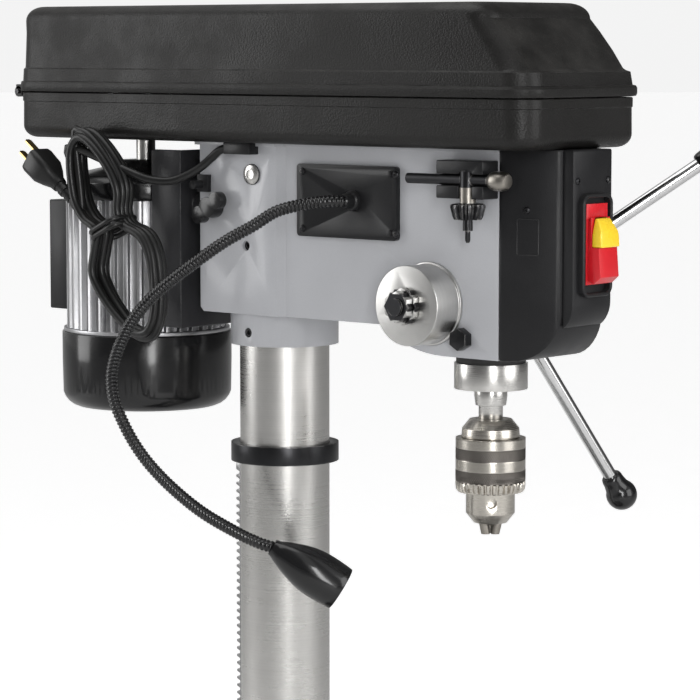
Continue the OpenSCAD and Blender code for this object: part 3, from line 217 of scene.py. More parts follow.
def turned_group():
    """Tool marks that run round an axis, as on turned and ground steel."""
    tree, g_in, g_out = _group(
        "Turned", [("Centre", (0.0, 0.0, 0.0)), ("Axis", (0.0, 0.0, 1.0)), ("Fineness", 1500.0)],
        ["Streak"])
    place = _place(tree)
    away = _vector(tree, "SUBTRACT", place, g_in.outputs["Centre"])
    along = _vector(tree, "DOT_PRODUCT", away, g_in.outputs["Axis"], out=1)
    node = tree.nodes.new("ShaderNodeVectorMath")
    node.operation = "SCALE"
    tree.links.new(g_in.outputs["Axis"], node.inputs[0])
    tree.links.new(along, node.inputs["Scale"])
    radius = _vector(tree, "LENGTH", _vector(tree, "SUBTRACT", away, node.outputs[0]), out=1)
    joined = tree.nodes.new("ShaderNodeCombineXYZ")
    tree.links.new(along, joined.inputs[0])
    tree.links.new(radius, joined.inputs[1])
    streak = _noise(tree, joined.outputs[0], g_in.outputs["Fineness"], 4.0, 0.7)
    tree.links.new(streak, g_out.inputs["Streak"])
    return tree


def pebble_group():
    """Raised pebbles of textured powder coat and moulded grain."""
    tree, g_in, g_out = _group("Pebble", [("Scale", 700.0)], ["Height", "Tone"])
    place = _place(tree)
    cells = tree.nodes.new("ShaderNodeTexVoronoi")
    cells.feature = "SMOOTH_F1"
    cells.inputs["Smoothness"].default_value = 0.6
    tree.links.new(place, cells.inputs["Vector"])
    tree.links.new(g_in.outputs["Scale"], cells.inputs["Scale"])
    height = _math(tree, "SUBTRACT", 1.0, cells.outputs["Distance"], clamp=True)
    tree.links.new(height, g_out.inputs["Height"])
    tree.links.new(_ramp(tree, height, 0.3, 0.95), g_out.inputs["Tone"])
    return tree


GROUPS = {}
MATERIALS = {}


def _use(tree, name, **values):
    node = tree.nodes.new("ShaderNodeGroup")
    node.node_tree = GROUPS[name]
    for key, value in values.items():
        node.inputs[key.replace("_", " ").capitalize()].default_value = value
    return node


def _blend(tree, mask, a, b):
    node = tree.nodes.new("ShaderNodeMix")
    node.data_type = "RGBA"
    tree.links.new(mask, node.inputs[0])
    for socket, value in ((node.inputs[6], a), (node.inputs[7], b)):
        if isinstance(value, tuple):
            socket.default_value = (*value[:3], 1.0)
        else:
            tree.links.new(value, socket)
    return node.outputs[2]


def _between(tree, mask, low, high):
    node = tree.nodes.new("ShaderNodeMapRange")
    node.inputs["To Min"].default_value = low
    node.inputs["To Max"].default_value = high
    tree.links.new(mask, node.inputs["Value"])
    return node.outputs["Result"]


def _shade(colour, factor):
    return tuple(min(1.0, c * factor) for c in colour)


def _start(name, metallic=0.0, coat=0.0, specular=0.5, anisotropic=0.0):
    material = bpy.data.materials.new(name)
    material.use_nodes = True
    tree = material.node_tree
    shader = tree.nodes["Principled BSDF"]
    shader.inputs["Metallic"].default_value = metallic
    shader.inputs["Coat Weight"].default_value = coat
    shader.inputs["Coat Roughness"].default_value = 0.12
    shader.inputs["Specular IOR Level"].default_value = specular
    shader.inputs["Anisotropic"].default_value = anisotropic
    MATERIALS[name] = material
    return tree, shader


def _bump(tree, shader, height, strength, distance=0.0004):
    node = tree.nodes.new("ShaderNodeBump")
    node.inputs["Strength"].default_value = strength
    node.inputs["Distance"].default_value = distance
    tree.links.new(height, node.inputs["Height"])
    tree.links.new(node.outputs["Normal"], shader.inputs["Normal"])


def coated(name, colour, rough, pebble=0.0, pebble_scale=700.0, rub_and_highlight_colour=None, rub_and_highlight=0.0, dust=0.0,
           metallic=0.0, coat=0.0, specular=0.5, contrast=0.10, fine=900.0, bump=0.05):
    """A painted or moulded surface: toned colour, rubbed edges (on the black iron also painted edge
    highlights), dust and a grain or pebble bump.
    """
    tree, shader = _start(name, metallic, coat, specular)
    grain = _use(tree, "Grain", fine_scale=fine)
    dark, pale = _shade(colour, 1 - contrast * 2), _shade(colour, 1 + contrast * 2)
    tone = _blend(tree, grain.outputs["Tone"], dark, pale)
    rough_value = _between(tree, grain.outputs["Smudge"], rough * 0.82, min(1.0, rough * 1.18))
    if rub_and_highlight_colour is not None:
        # edges lightened by the mask: rubbed wear, and on the black iron also a painted highlight
        rub_and_highlight_mask = _use(tree, "Rubbed edge and highlight", amount=rub_and_highlight).outputs["Mask"]
        tone = _blend(tree, rub_and_highlight_mask, tone, rub_and_highlight_colour)
    if dust > 0:
        tone = _blend(tree, _use(tree, "Dust", amount=dust).outputs["Mask"], tone, (0.34, 0.33, 0.31))
    tree.links.new(tone, shader.inputs["Base Color"])
    tree.links.new(rough_value, shader.inputs["Roughness"])
    if pebble > 0:
        _bump(tree, shader, _use(tree, "Pebble", scale=pebble_scale).outputs["Height"], pebble, 0.0005)
    else:
        _bump(tree, shader, grain.outputs["Height"], bump)


def machined(name, colour, rough, centre=(0, 0, 0), axis=(0, 0, 1), fineness=1500.0, spread=0.10,
             bump=0.12, smudge=0.15, anisotropic=0.0):
    """Bare metal with tool marks round an axis."""
    tree, shader = _start(name, 1.0, anisotropic=anisotropic)
    streak = _use(tree, "Turned", centre=centre, axis=axis, fineness=fineness).outputs["Streak"]
    grain = _use(tree, "Grain", fine_scale=600.0, broad_scale=22.0)
    tone = _blend(tree, streak, _shade(colour, 0.86), _shade(colour, 1.10))
    stain = _math(tree, "MULTIPLY", grain.outputs["Smudge"], smudge)
    soiled = _blend(tree, stain, tone, _shade(colour, 0.55))
    tree.links.new(soiled, shader.inputs["Base Color"])
    value = _math(tree, "ADD", _between(tree, streak, rough - spread, rough + spread),
                  _math(tree, "MULTIPLY", grain.outputs["Smudge"], 0.06), clamp=True)
    tree.links.new(value, shader.inputs["Roughness"])
    _bump(tree, shader, streak, bump, 0.0002)


def make_materials(paint):
    for name, build in (("Rubbed edge and highlight", rubbed_edge_and_highlight_group), ("Grain", grain_group), ("Dust", dust_group),
                        ("Turned", turned_group), ("Pebble", pebble_group)):
        GROUPS[name] = build()
    head = tuple(paint.head)
    coated("head_paint", head, 0.36, pebble=0.10, pebble_scale=420.0, rub_and_highlight_colour=_shade(head, 1.5), rub_and_highlight=0.5,
           dust=0.12, coat=0.25, contrast=0.05)
    coated("black_sheet", (0.012, 0.0115, 0.011), 0.44, pebble=0.32, pebble_scale=620.0,
           rub_and_highlight_colour=(0.06, 0.06, 0.06), rub_and_highlight=0.35, dust=0.10, contrast=0.2, specular=0.22)
    # black iron: the pale rubbed edges are real wear and also painted highlights, standing in for light
    # along the motor plate's flange edges
    coated("black_iron", (0.022, 0.022, 0.024), 0.40, pebble=0.16, pebble_scale=330.0,
           rub_and_highlight_colour=(0.30, 0.30, 0.30), rub_and_highlight=0.7, dust=0.15, contrast=0.2, specular=0.3)
    coated("black_plastic", (0.014, 0.014, 0.015), 0.36, pebble=0.10, pebble_scale=1100.0,
           rub_and_highlight_colour=(0.05, 0.05, 0.05), rub_and_highlight=0.3, dust=0.08, contrast=0.15, specular=0.22)
    coated("gloss_black", (0.007, 0.007, 0.0075), 0.20, coat=0.25, dust=0.03, contrast=0.15, bump=0.02,
           specular=0.35)
    coated("black_oxide", (0.030, 0.030, 0.032), 0.34, metallic=0.85, rub_and_highlight_colour=(0.35, 0.34, 0.33), rub_and_highlight=0.8,
           contrast=0.2, fine=1400.0, bump=0.08)
    coated("red_plastic", tuple(paint.switch), 0.28, coat=0.3, dust=0.05, contrast=0.05, bump=0.03)
    coated("yellow_plastic", tuple(paint.key), 0.30, coat=0.2, dust=0.05, contrast=0.05, bump=0.03)
    coated("cord_rubber", (0.010, 0.010, 0.010), 0.34, dust=0.04, specular=0.35, contrast=0.2,
           fine=1800.0, bump=0.10)
    coated("belt_rubber", (0.020, 0.020, 0.020), 0.75, pebble=0.2, pebble_scale=2200.0, contrast=0.25)
    coated("cast_alloy", (0.46, 0.46, 0.47), 0.42, metallic=1.0, pebble=0.10, pebble_scale=800.0,
           rub_and_highlight_colour=(0.72, 0.72, 0.72), rub_and_highlight=0.5, contrast=0.10)
    coated("ground_iron", (0.30, 0.30, 0.30), 0.34, metallic=1.0, dust=0.10, contrast=0.12,
           fine=2200.0, bump=0.08)
    coated("brass", (0.62, 0.46, 0.20), 0.28, metallic=1.0, contrast=0.08)
    coated("lamp_lens", (0.75, 0.76, 0.74), 0.22, coat=0.5, contrast=0.03)
    steel = (0.60, 0.59, 0.57)
    machined("column_steel", (0.62, 0.61, 0.59), 0.27, fineness=900.0, spread=0.08, bump=0.08,
             anisotropic=0.5)
    machined("spindle_steel", steel, 0.24, centre=SPINDLE[:], fineness=1900.0)
    machined("chuck_steel", (0.55, 0.52, 0.47), 0.25, centre=SPINDLE[:], fineness=1700.0)
    machined("knurl_steel", (0.13, 0.12, 0.11), 0.40, centre=SPINDLE[:], fineness=900.0, smudge=0.4)
    machined("jaw_steel", (0.30, 0.28, 0.25), 0.34, centre=SPINDLE[:], fineness=900.0)
    machined("feed_steel", (0.58, 0.575, 0.56), 0.30, centre=FEED_AXIS[:], axis=(1, 0, 0), fineness=1300.0,
             bump=0.2, smudge=0.25)
    machined("rod_chrome", (0.66, 0.66, 0.66), 0.12, fineness=300.0, spread=0.03, bump=0.02)
    machined("motor_steel", steel, 0.28, centre=MOTOR_AXIS[:])
    machined("pulley_alloy", (0.60, 0.60, 0.61), 0.32, centre=MOTOR_AXIS[:], fineness=700.0)


# ---------- mesh helpers ----------

def _finish_mesh(name, bm, body, material, sharp=35.0, replaces=()):
    bmesh.ops.recalc_face_normals(bm, faces=bm.faces)
    mesh = bpy.data.meshes.new(name)
    bm.to_mesh(mesh)
    bm.free()
    for polygon in mesh.polygons:
        polygon.use_smooth = True
    mesh.set_sharp_from_angle(angle=math.radians(sharp))
    mesh.materials.append(MATERIALS[material])
    piece = bpy.data.objects.new(name, mesh)
    bpy.context.scene.collection.objects.link(piece)
    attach(piece, body)
    if replaces:
        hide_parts(*replaces)
    return piece


def remake(node, body, material, bevel=0.0, segments=2):
    """The CAD node's own shape with merged faces, rounded edges and smooth shading."""
    bm = bmesh.new()
    bm.from_mesh(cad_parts[node].data)
    bmesh.ops.remove_doubles(bm, verts=bm.verts, dist=2e-6)
    bmesh.ops.dissolve_limit(bm, angle_limit=math.radians(0.6), verts=bm.verts, edges=bm.edges)
    if bevel > 0:
        mesh = bpy.data.meshes.new(node + "_bare")
        bm.to_mesh(mesh)
        bm.free()
        bare = bpy.data.objects.new(node + "_bare", mesh)
        bpy.context.scene.collection.objects.link(bare)
        modifier = bare.modifiers.new("Round", "BEVEL")
        modifier.width = bevel
        modifier.segments = segments
        modifier.limit_method = "ANGLE"
        modifier.angle_limit = math.radians(30)
        modifier.miter_outer = "MITER_ARC"
        modifier.use_clamp_overlap = True
        bpy.context.view_layer.update()
        rounded = bpy.data.meshes.new_from_object(bare.evaluated_get(bpy.context.evaluated_depsgraph_get()))
        bpy.data.objects.remove(bare)
        bm = bmesh.new()
        bm.from_mesh(rounded)
        bpy.data.meshes.remove(rounded)
    return _finish_mesh(node + "_finish", bm, body, material, replaces=(node,))


def _frame_of(axis):
    """Two directions square to the axis."""
    axis = axis.normalized()
    side = ALONG_Z if abs(axis.z) < 0.9 else ALONG_X
    u = axis.cross(side).normalized()
    return u, axis.cross(u)


def ring_of(centre, radius_at, sides, across=ALONG_X, other=ALONG_Y):
    """Points round a centre, each at the radius that its number gives."""
    return [centre + (across * math.cos(2 * math.pi * k / sides)
                      + other * math.sin(2 * math.pi * k / sides)) * radius_at(k) for k in range(sides)]


def tooth_rise(phase, half):
    """How far a gear's outline stands out, from 0 to 1, at a place from tooth to tooth."""
    return max(0.0, min(1.0, (half - abs(phase % 1.0 - 0.5)) / 0.14))


def lathe_into(bm, profile, centre, axis, segments=64):
    """Adds a turned closed shape: profile is (radius, distance along the axis), ends on the axis."""
    axis = axis.normalized()
    u, v = _frame_of(axis)
    rings = []
    for radius, along in profile:
        if radius < 1e-7:
            rings.append([bm.verts.new(centre + axis * along)])
        else:
            ring = ring_of(centre + axis * along, lambda k, radius=radius: radius, segments, u, v)
            rings.append([bm.verts.new(point) for point in ring])
    for low, high in zip(rings, rings[1:]):
        for k in range(segments):
            n = (k + 1) % segments
            corners = [low[k % len(low)], low[n % len(low)], high[n % len(high)], high[k % len(high)]]
            distinct = list(dict.fromkeys(corners))
            if len(distinct) > 2:
                bm.faces.new(distinct)


def lathe(name, profile, centre, axis, body, material, segments=64, sharp=35.0, replaces=()):
    bm = bmesh.new()
    lathe_into(bm, profile, centre, axis, segments)
    return _finish_mesh(name, bm, body, material, sharp, replaces)


def skin_rings(bm, rings, cap=True, close=False):
    """Joins equal rings of points into a tube."""
    verts = [[bm.verts.new(p) for p in ring] for ring in rings]
    pairs = list(zip(verts, verts[1:])) + ([(verts[-1], verts[0])] if close else [])
    for low, high in pairs:
        for k in range(len(low)):
            n = (k + 1) % len(low)
            bm.faces.new([low[k], low[n], high[n], high[k]])
    if cap and not close:
        bm.faces.new(verts[0])
        bm.faces.new(verts[-1])


def smooth_route(points, per_span):
    """Catmull-Rom points through a route."""
    p = [Vector(q) for q in points]
    out = []
    for i in range(len(p) - 1):
        a, b, c, d = p[max(i - 1, 0)], p[i], p[i + 1], p[min(i + 2, len(p) - 1)]
        for k in range(per_span):
            t = k / per_span
            out.append(0.5 * (2 * b + (c - a) * t + (2 * a - 5 * b + 4 * c - d) * t * t
                              + (3 * b - a - 3 * c + d) * t ** 3))
    out.append(p[-1])
    return out


def even_route(points, step):
    """The route's points set out again at equal steps."""
    lengths = [0.0]
    for a, b in zip(points, points[1:]):
        lengths.append(lengths[-1] + (b - a).length)
    count = max(2, round(lengths[-1] / step))
    out, i = [], 0
    for k in range(count + 1):
        want = lengths[-1] * k / count
        while i < len(points) - 2 and lengths[i + 1] < want:
            i += 1
        span = max(lengths[i + 1] - lengths[i], 1e-12)
        out.append(points[i].lerp(points[i + 1], min(1.0, (want - lengths[i]) / span)))
    return out


def tube_rings(points, radii, sides):
    """Round rings along a route, carried without twist."""
    rings = []
    across = None
    for i, point in enumerate(points):
        ahead = (points[min(i + 1, len(points) - 1)] - points[max(i - 1, 0)]).normalized()
        if across is None:
            across = _frame_of(ahead)[0]
        across = (across - ahead * across.dot(ahead)).normalized()
        other = ahead.cross(across)
        rings.append(ring_of(point, lambda k, i=i: radii[i], sides, across, other))
    return rings


def hoop_into(bm, path, radius, sides):
    """Adds a closed round band along a path."""
    skin_rings(bm, tube_rings(path + [path[0]], [radius] * (len(path) + 1), sides)[:-1], close=True)


def rounded_outline(half_w, half_l, radius, per_corner=10):
    """Points of a rectangle with round corners, anticlockwise from the first corner."""
    radius = min(radius, half_w - 1e-5, half_l - 1e-5)
    out = []
    for cx, cy, start in ((1, 1, 0), (-1, 1, 90), (-1, -1, 180), (1, -1, 270)):
        for k in range(per_corner + 1):
            a = math.radians(start + 90 * k / per_corner)
            out.append((cx * (half_w - radius) + radius * math.cos(a),
                        cy * (half_l - radius) + radius * math.sin(a)))
    return out


def block_into(bm, low, high, bevel=0.0006):
    """Adds a box with rounded edges."""
    box = bmesh.new()
    size = [h - l for l, h in zip(low, high)]
    middle = [(h + l) / 2 for l, h in zip(low, high)]
    bmesh.ops.create_cube(box, size=1.0, matrix=Matrix.Translation(middle) @ Matrix.Diagonal((*size, 1.0)))
    bmesh.ops.bevel(box, geom=box.edges[:], offset=min(bevel, min(size) * 0.3), segments=2,
                    affect="EDGES", profile=0.6)
    mesh = bpy.data.meshes.new("box")
    box.to_mesh(mesh)
    box.free()
    bm.from_mesh(mesh)
    bpy.data.meshes.remove(mesh)


def screw_into(bm, centre, axis, radius, height):
    """Adds a domed screw head with a recess."""
    r, h = radius, height
    lathe_into(bm, [(0, -0.0008), (r, -0.0008), (r, 0.2 * h), (0.86 * r, 0.62 * h), (0.62 * r, 0.88 * h),
                    (0.40 * r, h), (0.34 * r, 0.98 * h), (0.30 * r, 0.35 * h), (0, 0.30 * h)],
               Vector(centre), Vector(axis), 20)


# ---------- pieces ----------

class PRESS_OT_guard(bpy.types.Operator):
    """Belt guard: pan, lid with its lip and step, seam and hinge"""
    bl_idname = "press.guard"
    bl_label = "Build belt guard"

    def execute(self, context):
        front, back, half = GUARD_FRONT, GUARD_BACK, 0.074

        def ring(z, side, ahead, behind, radius):
            hw = half - side
            hl = (back - front - ahead - behind) / 2
            mid = (front + ahead + back - behind) / 2
            return [Vector((x, mid + y, z)) for x, y in rounded_outline(hw, hl, radius)]

        pan_outer = [(0.9030, 0.0110, 0.011, 0.011, 0.012)]
        for k in range(1, 9):
            a = math.radians(90 * k / 8)
            inset = 0.001 + 0.010 * (1 - math.sin(a))
            pan_outer.append((0.903 + 0.010 * (1 - math.cos(a)), inset, inset, inset, 0.021 - inset * 0.6))
        pan_outer += [(0.9330, 0.0010, 0.001, 0.001, 0.021), (0.9336, 0.0003, 0.0003, 0.0003, 0.0215),
                      (0.9402, 0.0003, 0.0003, 0.0003, 0.0215), (0.9408, 0.0010, 0.001, 0.001, 0.021)]
        pan_inner = [(0.9408, 0.0035, 0.0035, 0.0035, 0.019), (0.912, 0.0035, 0.0035, 0.0035, 0.019),
                     (0.908, 0.0060, 0.006, 0.006, 0.016), (0.9064, 0.012, 0.012, 0.012, 0.011)]
        bm = bmesh.new()
        skin_rings(bm, [ring(*r) for r in pan_outer + pan_inner])
        for x in HINGE_XS:
            lathe_into(bm, [(0, -0.009), (0.0045, -0.009), (0.0045, 0.009), (0, 0.009)],
                       Vector((x, HINGE_Y, HINGE_Z)), ALONG_X, 24)
            block_into(bm, (x - 0.009, back - 0.002, 0.9370), (x + 0.009, HINGE_Y, 0.9398))
        _finish_mesh("guard_pan_finish", bm, "frame", "black_sheet", 28.0, ("guard_pan",))

        lid_outer = [(0.9414, 0.0005, 0.0005, 0.0005, 0.022), (0.9418, -0.0022, -0.0022, -0.0005, 0.024),
                     (0.9436, -0.0030, -0.0030, -0.0005, 0.0248),
                     (0.9478, -0.0030, -0.0030, -0.0005, 0.0248),
                     (0.9496, -0.0020, -0.0020, -0.0005, 0.0238), (0.9502, 0.0002, 0.0004, 0.0006, 0.022),
                     (0.9600, 0.0006, 0.0022, 0.001, 0.022), (0.9612, 0.0020, 0.0060, 0.002, 0.0212),
                     (0.9626, 0.0022, 0.0085, 0.0022, 0.021), (0.9760, 0.0026, 0.0180, 0.0026, 0.021),
                     (0.9900, 0.0032, 0.0300, 0.0034, 0.020)]
        for k in range(9):
            a = math.radians(90 * k / 8)
            drop = 0.012 * (1 - math.sin(a))
            inset = 0.0035 + 0.012 * (1 - math.cos(a))
            ahead = 0.0400 + 0.016 * (1 - math.cos(a))
            lid_outer.append((1.0120 - drop, inset, ahead, inset, 0.020 - inset * 0.4))
        lid_inner = [(1.0095, 0.016, 0.058, 0.016, 0.010), (0.9960, 0.0062, 0.040, 0.0062, 0.016),
                     (0.9700, 0.0050, 0.020, 0.0050, 0.018), (0.9480, 0.0038, 0.0045, 0.0038, 0.019),
                     (0.9414, 0.0036, 0.0036, 0.0036, 0.019)]
        bm = bmesh.new()
        skin_rings(bm, [ring(*r) for r in lid_outer + lid_inner], cap=False, close=True)
        # the top closes the outside and the ceiling closes the inside
        bm.faces.ensure_lookup_table()
        count = len(ring(*lid_outer[0]))
        bm.verts.ensure_lookup_table()
        top = len(lid_outer) - 1
        wall = [f for f in bm.faces if all(top * count <= v.index < (top + 2) * count for v in f.verts)]
        bmesh.ops.delete(bm, geom=wall, context="FACES_ONLY")
        bm.verts.ensure_lookup_table()
        bm.faces.new([bm.verts[top * count + k] for k in range(count)])
        bm.faces.new([bm.verts[(top + 1) * count + k] for k in range(count)])
        for x in HINGE_XS:
            for s in (-0.016, 0.0095):
                lathe_into(bm, [(0, 0), (0.0045, 0), (0.0045, 0.0065), (0, 0.0065)],
                           Vector((x + s, HINGE_Y, HINGE_Z)), ALONG_X, 24)
                block_into(bm, (x + s, back - 0.0005, 0.9425), (x + s + 0.0065, HINGE_Y + 0.003, 0.9470))
        _finish_mesh("guard_lid_finish", bm, "lid", "black_sheet", 28.0, ("guard_lid",))

        bm = bmesh.new()
        for x in HINGE_XS:
            lathe_into(bm, [(0, -0.018), (0.0019, -0.018), (0.0019, 0.018), (0, 0.018)],
                       Vector((x, HINGE_Y, HINGE_Z)), ALONG_X, 16)
        _finish_mesh("hinge_pins", bm, "lid", "black_oxide")
        return {"FINISHED"}


class PRESS_OT_head(bpy.types.Operator):
    """Head casting with its screws, cord clips and bright plug"""
    bl_idname = "press.head"
    bl_label = "Build head"

    def execute(self, context):
        edge = context.scene.press.edge_round
        remake("head", "frame", "head_paint", edge)
        remake("fasteners", "frame", "black_oxide", 0.0004)
        remake("cord_clips", "frame", "black_plastic", 0.0012)
        remake("spring_cap", "frame", "feed_steel", 0.0010, 3)
        remake("return_spring", "frame", "black_oxide")
        remake("lamp_plate", "frame", "black_plastic", 0.0008)
        remake("key_holder", "frame", "black_plastic", 0.0010)
        lathe("bright_plug", [(0, 0), (0.0081, 0), (0.0081, 0.0016), (0.0070, 0.0024), (0.0040, 0.0028),
                              (0.0036, 0.0020), (0, 0.0018)],
              Vector((-0.0460, -0.007, 0.8775)), -ALONG_X, "frame", "spindle_steel", 40)
        bm = bmesh.new()
        for y in (-0.157, -0.061):
            for z in (0.8365, 0.8815):
                screw_into(bm, (-0.0460, y, z), (-1, 0, 0), 0.0030, 0.0018)
        _finish_mesh("lamp_plate_screws", bm, "frame", "black_oxide")
        return {"FINISHED"}


class PRESS_OT_front_box(bpy.types.Operator):
    """Black box in front of the head, its switch plate and screws"""
    bl_idname = "press.front_box"
    bl_label = "Build front box"

    def execute(self, context):
        edge = context.scene.press.edge_round
        remake("front_cover", "frame", "black_plastic", edge * 1.2)
        remake("switch_panel", "frame", "black_plastic", edge, 3)
        bm = bmesh.new()
        rings = []
        for out, hw, hl, r in ((0.0, 0.0185, 0.0385, 0.0080), (-0.0048, 0.0183, 0.0383, 0.0078),
                               (-0.0058, 0.0175, 0.0375, 0.0070), (-0.0058, 0.0163, 0.0363, 0.0058),
                               (-0.0050, 0.0155, 0.0355, 0.0050), (0.0, 0.0153, 0.0353, 0.0048)):
            outline = rounded_outline(hw, hl, r, 8)
            rings.append([Vector((x, PANEL_FRONT + out, 0.8320 + z)) for x, z in outline])
        skin_rings(bm, rings, cap=False, close=True)
        _finish_mesh("switch_rim", bm, "frame", "black_plastic")
        bm = bmesh.new()
        for x in (-0.019, 0.019):
            screw_into(bm, (x, PANEL_FRONT, 0.880), (0, -1, 0), 0.0028, 0.0016)
        side = Vector((-46, -13, 0)).normalized()
        screw_into(bm, (-0.03475, -0.2745, 0.858), side, 0.0028, 0.0016)
        _finish_mesh("box_screws", bm, "frame", "black_oxide")
        # raised frame of the small side plate
        bm = bmesh.new()
        along = Vector((13, -46, 0)).normalized()
        middle = Vector((-0.0346, -0.2755, 0.838))
        path = [middle + along * a + ALONG_Z * b for a, b in rounded_outline(0.0085, 0.0135, 0.0015, 4)]
        hoop_into(bm, path, 0.0006, 6)
        _finish_mesh("side_plate_rim", bm, "frame", "black_plastic")
        return {"FINISHED"}


class PRESS_OT_switch(bpy.types.Operator):
    """Safety switch: housing, paddle and key"""
    bl_idname = "press.switch"
    bl_label = "Build switch"

    def execute(self, context):
        remake("switch_housing", "frame", "red_plastic", 0.0010, 3)
        remake("switch_paddle", "paddle", "red_plastic", 0.0012, 3)
        remake("switch_key", "safety_key", "yellow_plastic", 0.0016, 3)
        return {"FINISHED"}


class PRESS_OT_quill(bpy.types.Operator):
    """Quill, spindle and their bearings"""
    bl_idname = "press.quill"
    bl_label = "Build quill"

    def execute(self, context):
        remake("quill", "quill_unit", "spindle_steel", 0.0007)
        remake("quill_bumper", "quill_unit", "belt_rubber", 0.0005)
        remake("spindle_bearings", "quill_unit", "spindle_steel")
        remake("spindle", "spindle_unit", "spindle_steel", 0.0004)
        return {"FINISHED"}


class PRESS_OT_chuck(bpy.types.Operator):
    """Keyed chuck: body, knurled sleeve with its gear teeth, and jaws"""
    bl_idname = "press.chuck"
    bl_label = "Build chuck"

    def execute(self, context):
        remake("chuck_body", "spindle_unit", "chuck_steel", 0.0006)
        teeth = context.scene.press.knurl_teeth
        sides = teeth * 4
        low, gear_top, high = 0.6378, 0.6463, 0.6798
        bands = [(gear_top, 0.6549), (0.6635, 0.6720)]
        rings = []

        def ring(z, radius_at):
            rings.append(ring_of(SPINDLE + ALONG_Z * z, radius_at, sides))

        def tooth(k, root, tip):
            return root + (tip - root) * tooth_rise(k * 36 / sides, 0.36)

        ring(low, lambda k: 0.0204)
        ring(low, lambda k: tooth(k, 0.0234, 0.0252))
        ring(low + 0.0022, lambda k: tooth(k, 0.0243, 0.0268))
        ring(gear_top - 0.0010, lambda k: tooth(k, 0.0258, 0.0272))
        ring(gear_top, lambda k: 0.0262)
        step = 0.00068
        for i in range(math.ceil((high - gear_top) / step)):
            z = gear_top + i * step
            band = next((b for b in bands if b[0] + 0.0004 < z < b[1] - 0.0004), None)
            if band:
                shift = (z - band[0]) / 0.0027

                def knurled(k, shift=shift):
                    p = k * teeth / sides
                    a = abs(((p + shift) % 1.0) - 0.5) * 2
                    b = abs(((p - shift) % 1.0) - 0.5) * 2
                    return 0.02655 + 0.00065 * min(a, b)
                ring(z, knurled)
            else:
                ring(z, lambda k: 0.0270)
        ring(high - 0.0008, lambda k: 0.0270)
        ring(high, lambda k: 0.0263)
        ring(high, lambda k: 0.0204)
        for z, r in ((0.6755, 0.0204), (0.6750, 0.0238), (0.6505, 0.0238), (0.6500, 0.0204)):
            ring(z, lambda k, r=r: r)
        bm = bmesh.new()
        skin_rings(bm, rings, cap=False, close=True)
        piece = _finish_mesh("chuck_sleeve_finish", bm, "chuck_outer", "chuck_steel", 40.0,
                             ("chuck_sleeve",))
        piece.data.materials.append(MATERIALS["knurl_steel"])
        for polygon in piece.data.polygons:
            z = polygon.center.z
            if any(b[0] - 0.0002 < z < b[1] + 0.0002 for b in bands):
                polygon.material_index = 1
        for k, body in ((1, "first_jaw"), (2, "second_jaw"), (3, "third_jaw")):
            remake(f"jaw_{k}", body, "jaw_steel")
        return {"FINISHED"}


class PRESS_OT_feed(bpy.types.Operator):
    """Feed handle: shaft, hub, rods, knobs and depth ring"""
    bl_idname = "press.feed"
    bl_label = "Build feed handle"

    def execute(self, context):
        remake("feed_shaft", "feed_unit", "feed_steel", 0.0004)
        remake("feed_hub", "feed_unit", "black_iron", 0.0010, 3)
        remake("feed_rods", "feed_unit", "rod_chrome")
        remake("depth_ring", "depth_stop", "feed_steel", 0.0005)
        bm = bmesh.new()
        origin = Vector((0.050, FEED_AXIS.y, FEED_AXIS.z))
        splay, reach, first_rod, ball = 0.65, 0.167, -78, 0.0126
        scale = math.sqrt(1 + splay * splay)
        for k in range(3):
            a = math.radians(first_rod + 120 * k)
            d = Vector((splay, -math.cos(a), math.sin(a))).normalized()
            centre = origin + d * reach * scale
            profile = [(0.0054, -0.0160), (0.0070, -0.0160), (0.0080, -0.0150), (0.0086, -0.0128),
                       (0.0088, -0.0095)]
            for i in range(17):
                t = math.radians(-38 + 128 * i / 16)
                profile.append((ball * math.cos(t), 0.0040 + ball * math.sin(t)))
            profile[-1] = (0.0, 0.0166)
            lathe_into(bm, [(0.0, -0.0040), (0.0054, -0.0040)] + profile, centre, d, 48)
        _finish_mesh("feed_knobs_finish", bm, "feed_unit", "gloss_black", 40.0, ("feed_knobs",))
        bm = bmesh.new()
        for x, flats, depth in ((-0.0758, 0.0252, 0.0056), (-0.0821, 0.0212, 0.0067)):
            corner = flats / math.sqrt(3)
            rings = []
            for at, size in ((0, corner - 0.0008), (0.0007, corner), (depth - 0.0007, corner),
                             (depth, corner - 0.0008)):
                middle = Vector((x + at, FEED_AXIS.y, FEED_AXIS.z))
                rings.append(ring_of(middle, lambda i, size=size: size, 6, ALONG_Y, ALONG_Z))
            skin_rings(bm, rings)
        lathe_into(bm, [(0, 0), (0.0060, 0), (0.0068, 0.0008), (0.0068, 0.0022), (0, 0.0022)],
                   Vector((-0.0820, FEED_AXIS.y, FEED_AXIS.z)), -ALONG_X, 28)
        _finish_mesh("lock_nuts", bm, "feed_unit", "black_oxide")
        bm = bmesh.new()
        for k in range(36):
            a = math.radians(10 * k)
            radial = Vector((0, math.cos(a), math.sin(a)))
            foot = Vector((0.0505, FEED_AXIS.y, FEED_AXIS.z)) + radial * 0.0288
            lathe_into(bm, [(0, 0), (0.00035, 0), (0.00035, 0.0004), (0, 0.0004)], foot, radial, 6)
        _finish_mesh("depth_marks", bm, "depth_stop", "black_oxide")
        return {"FINISHED"}


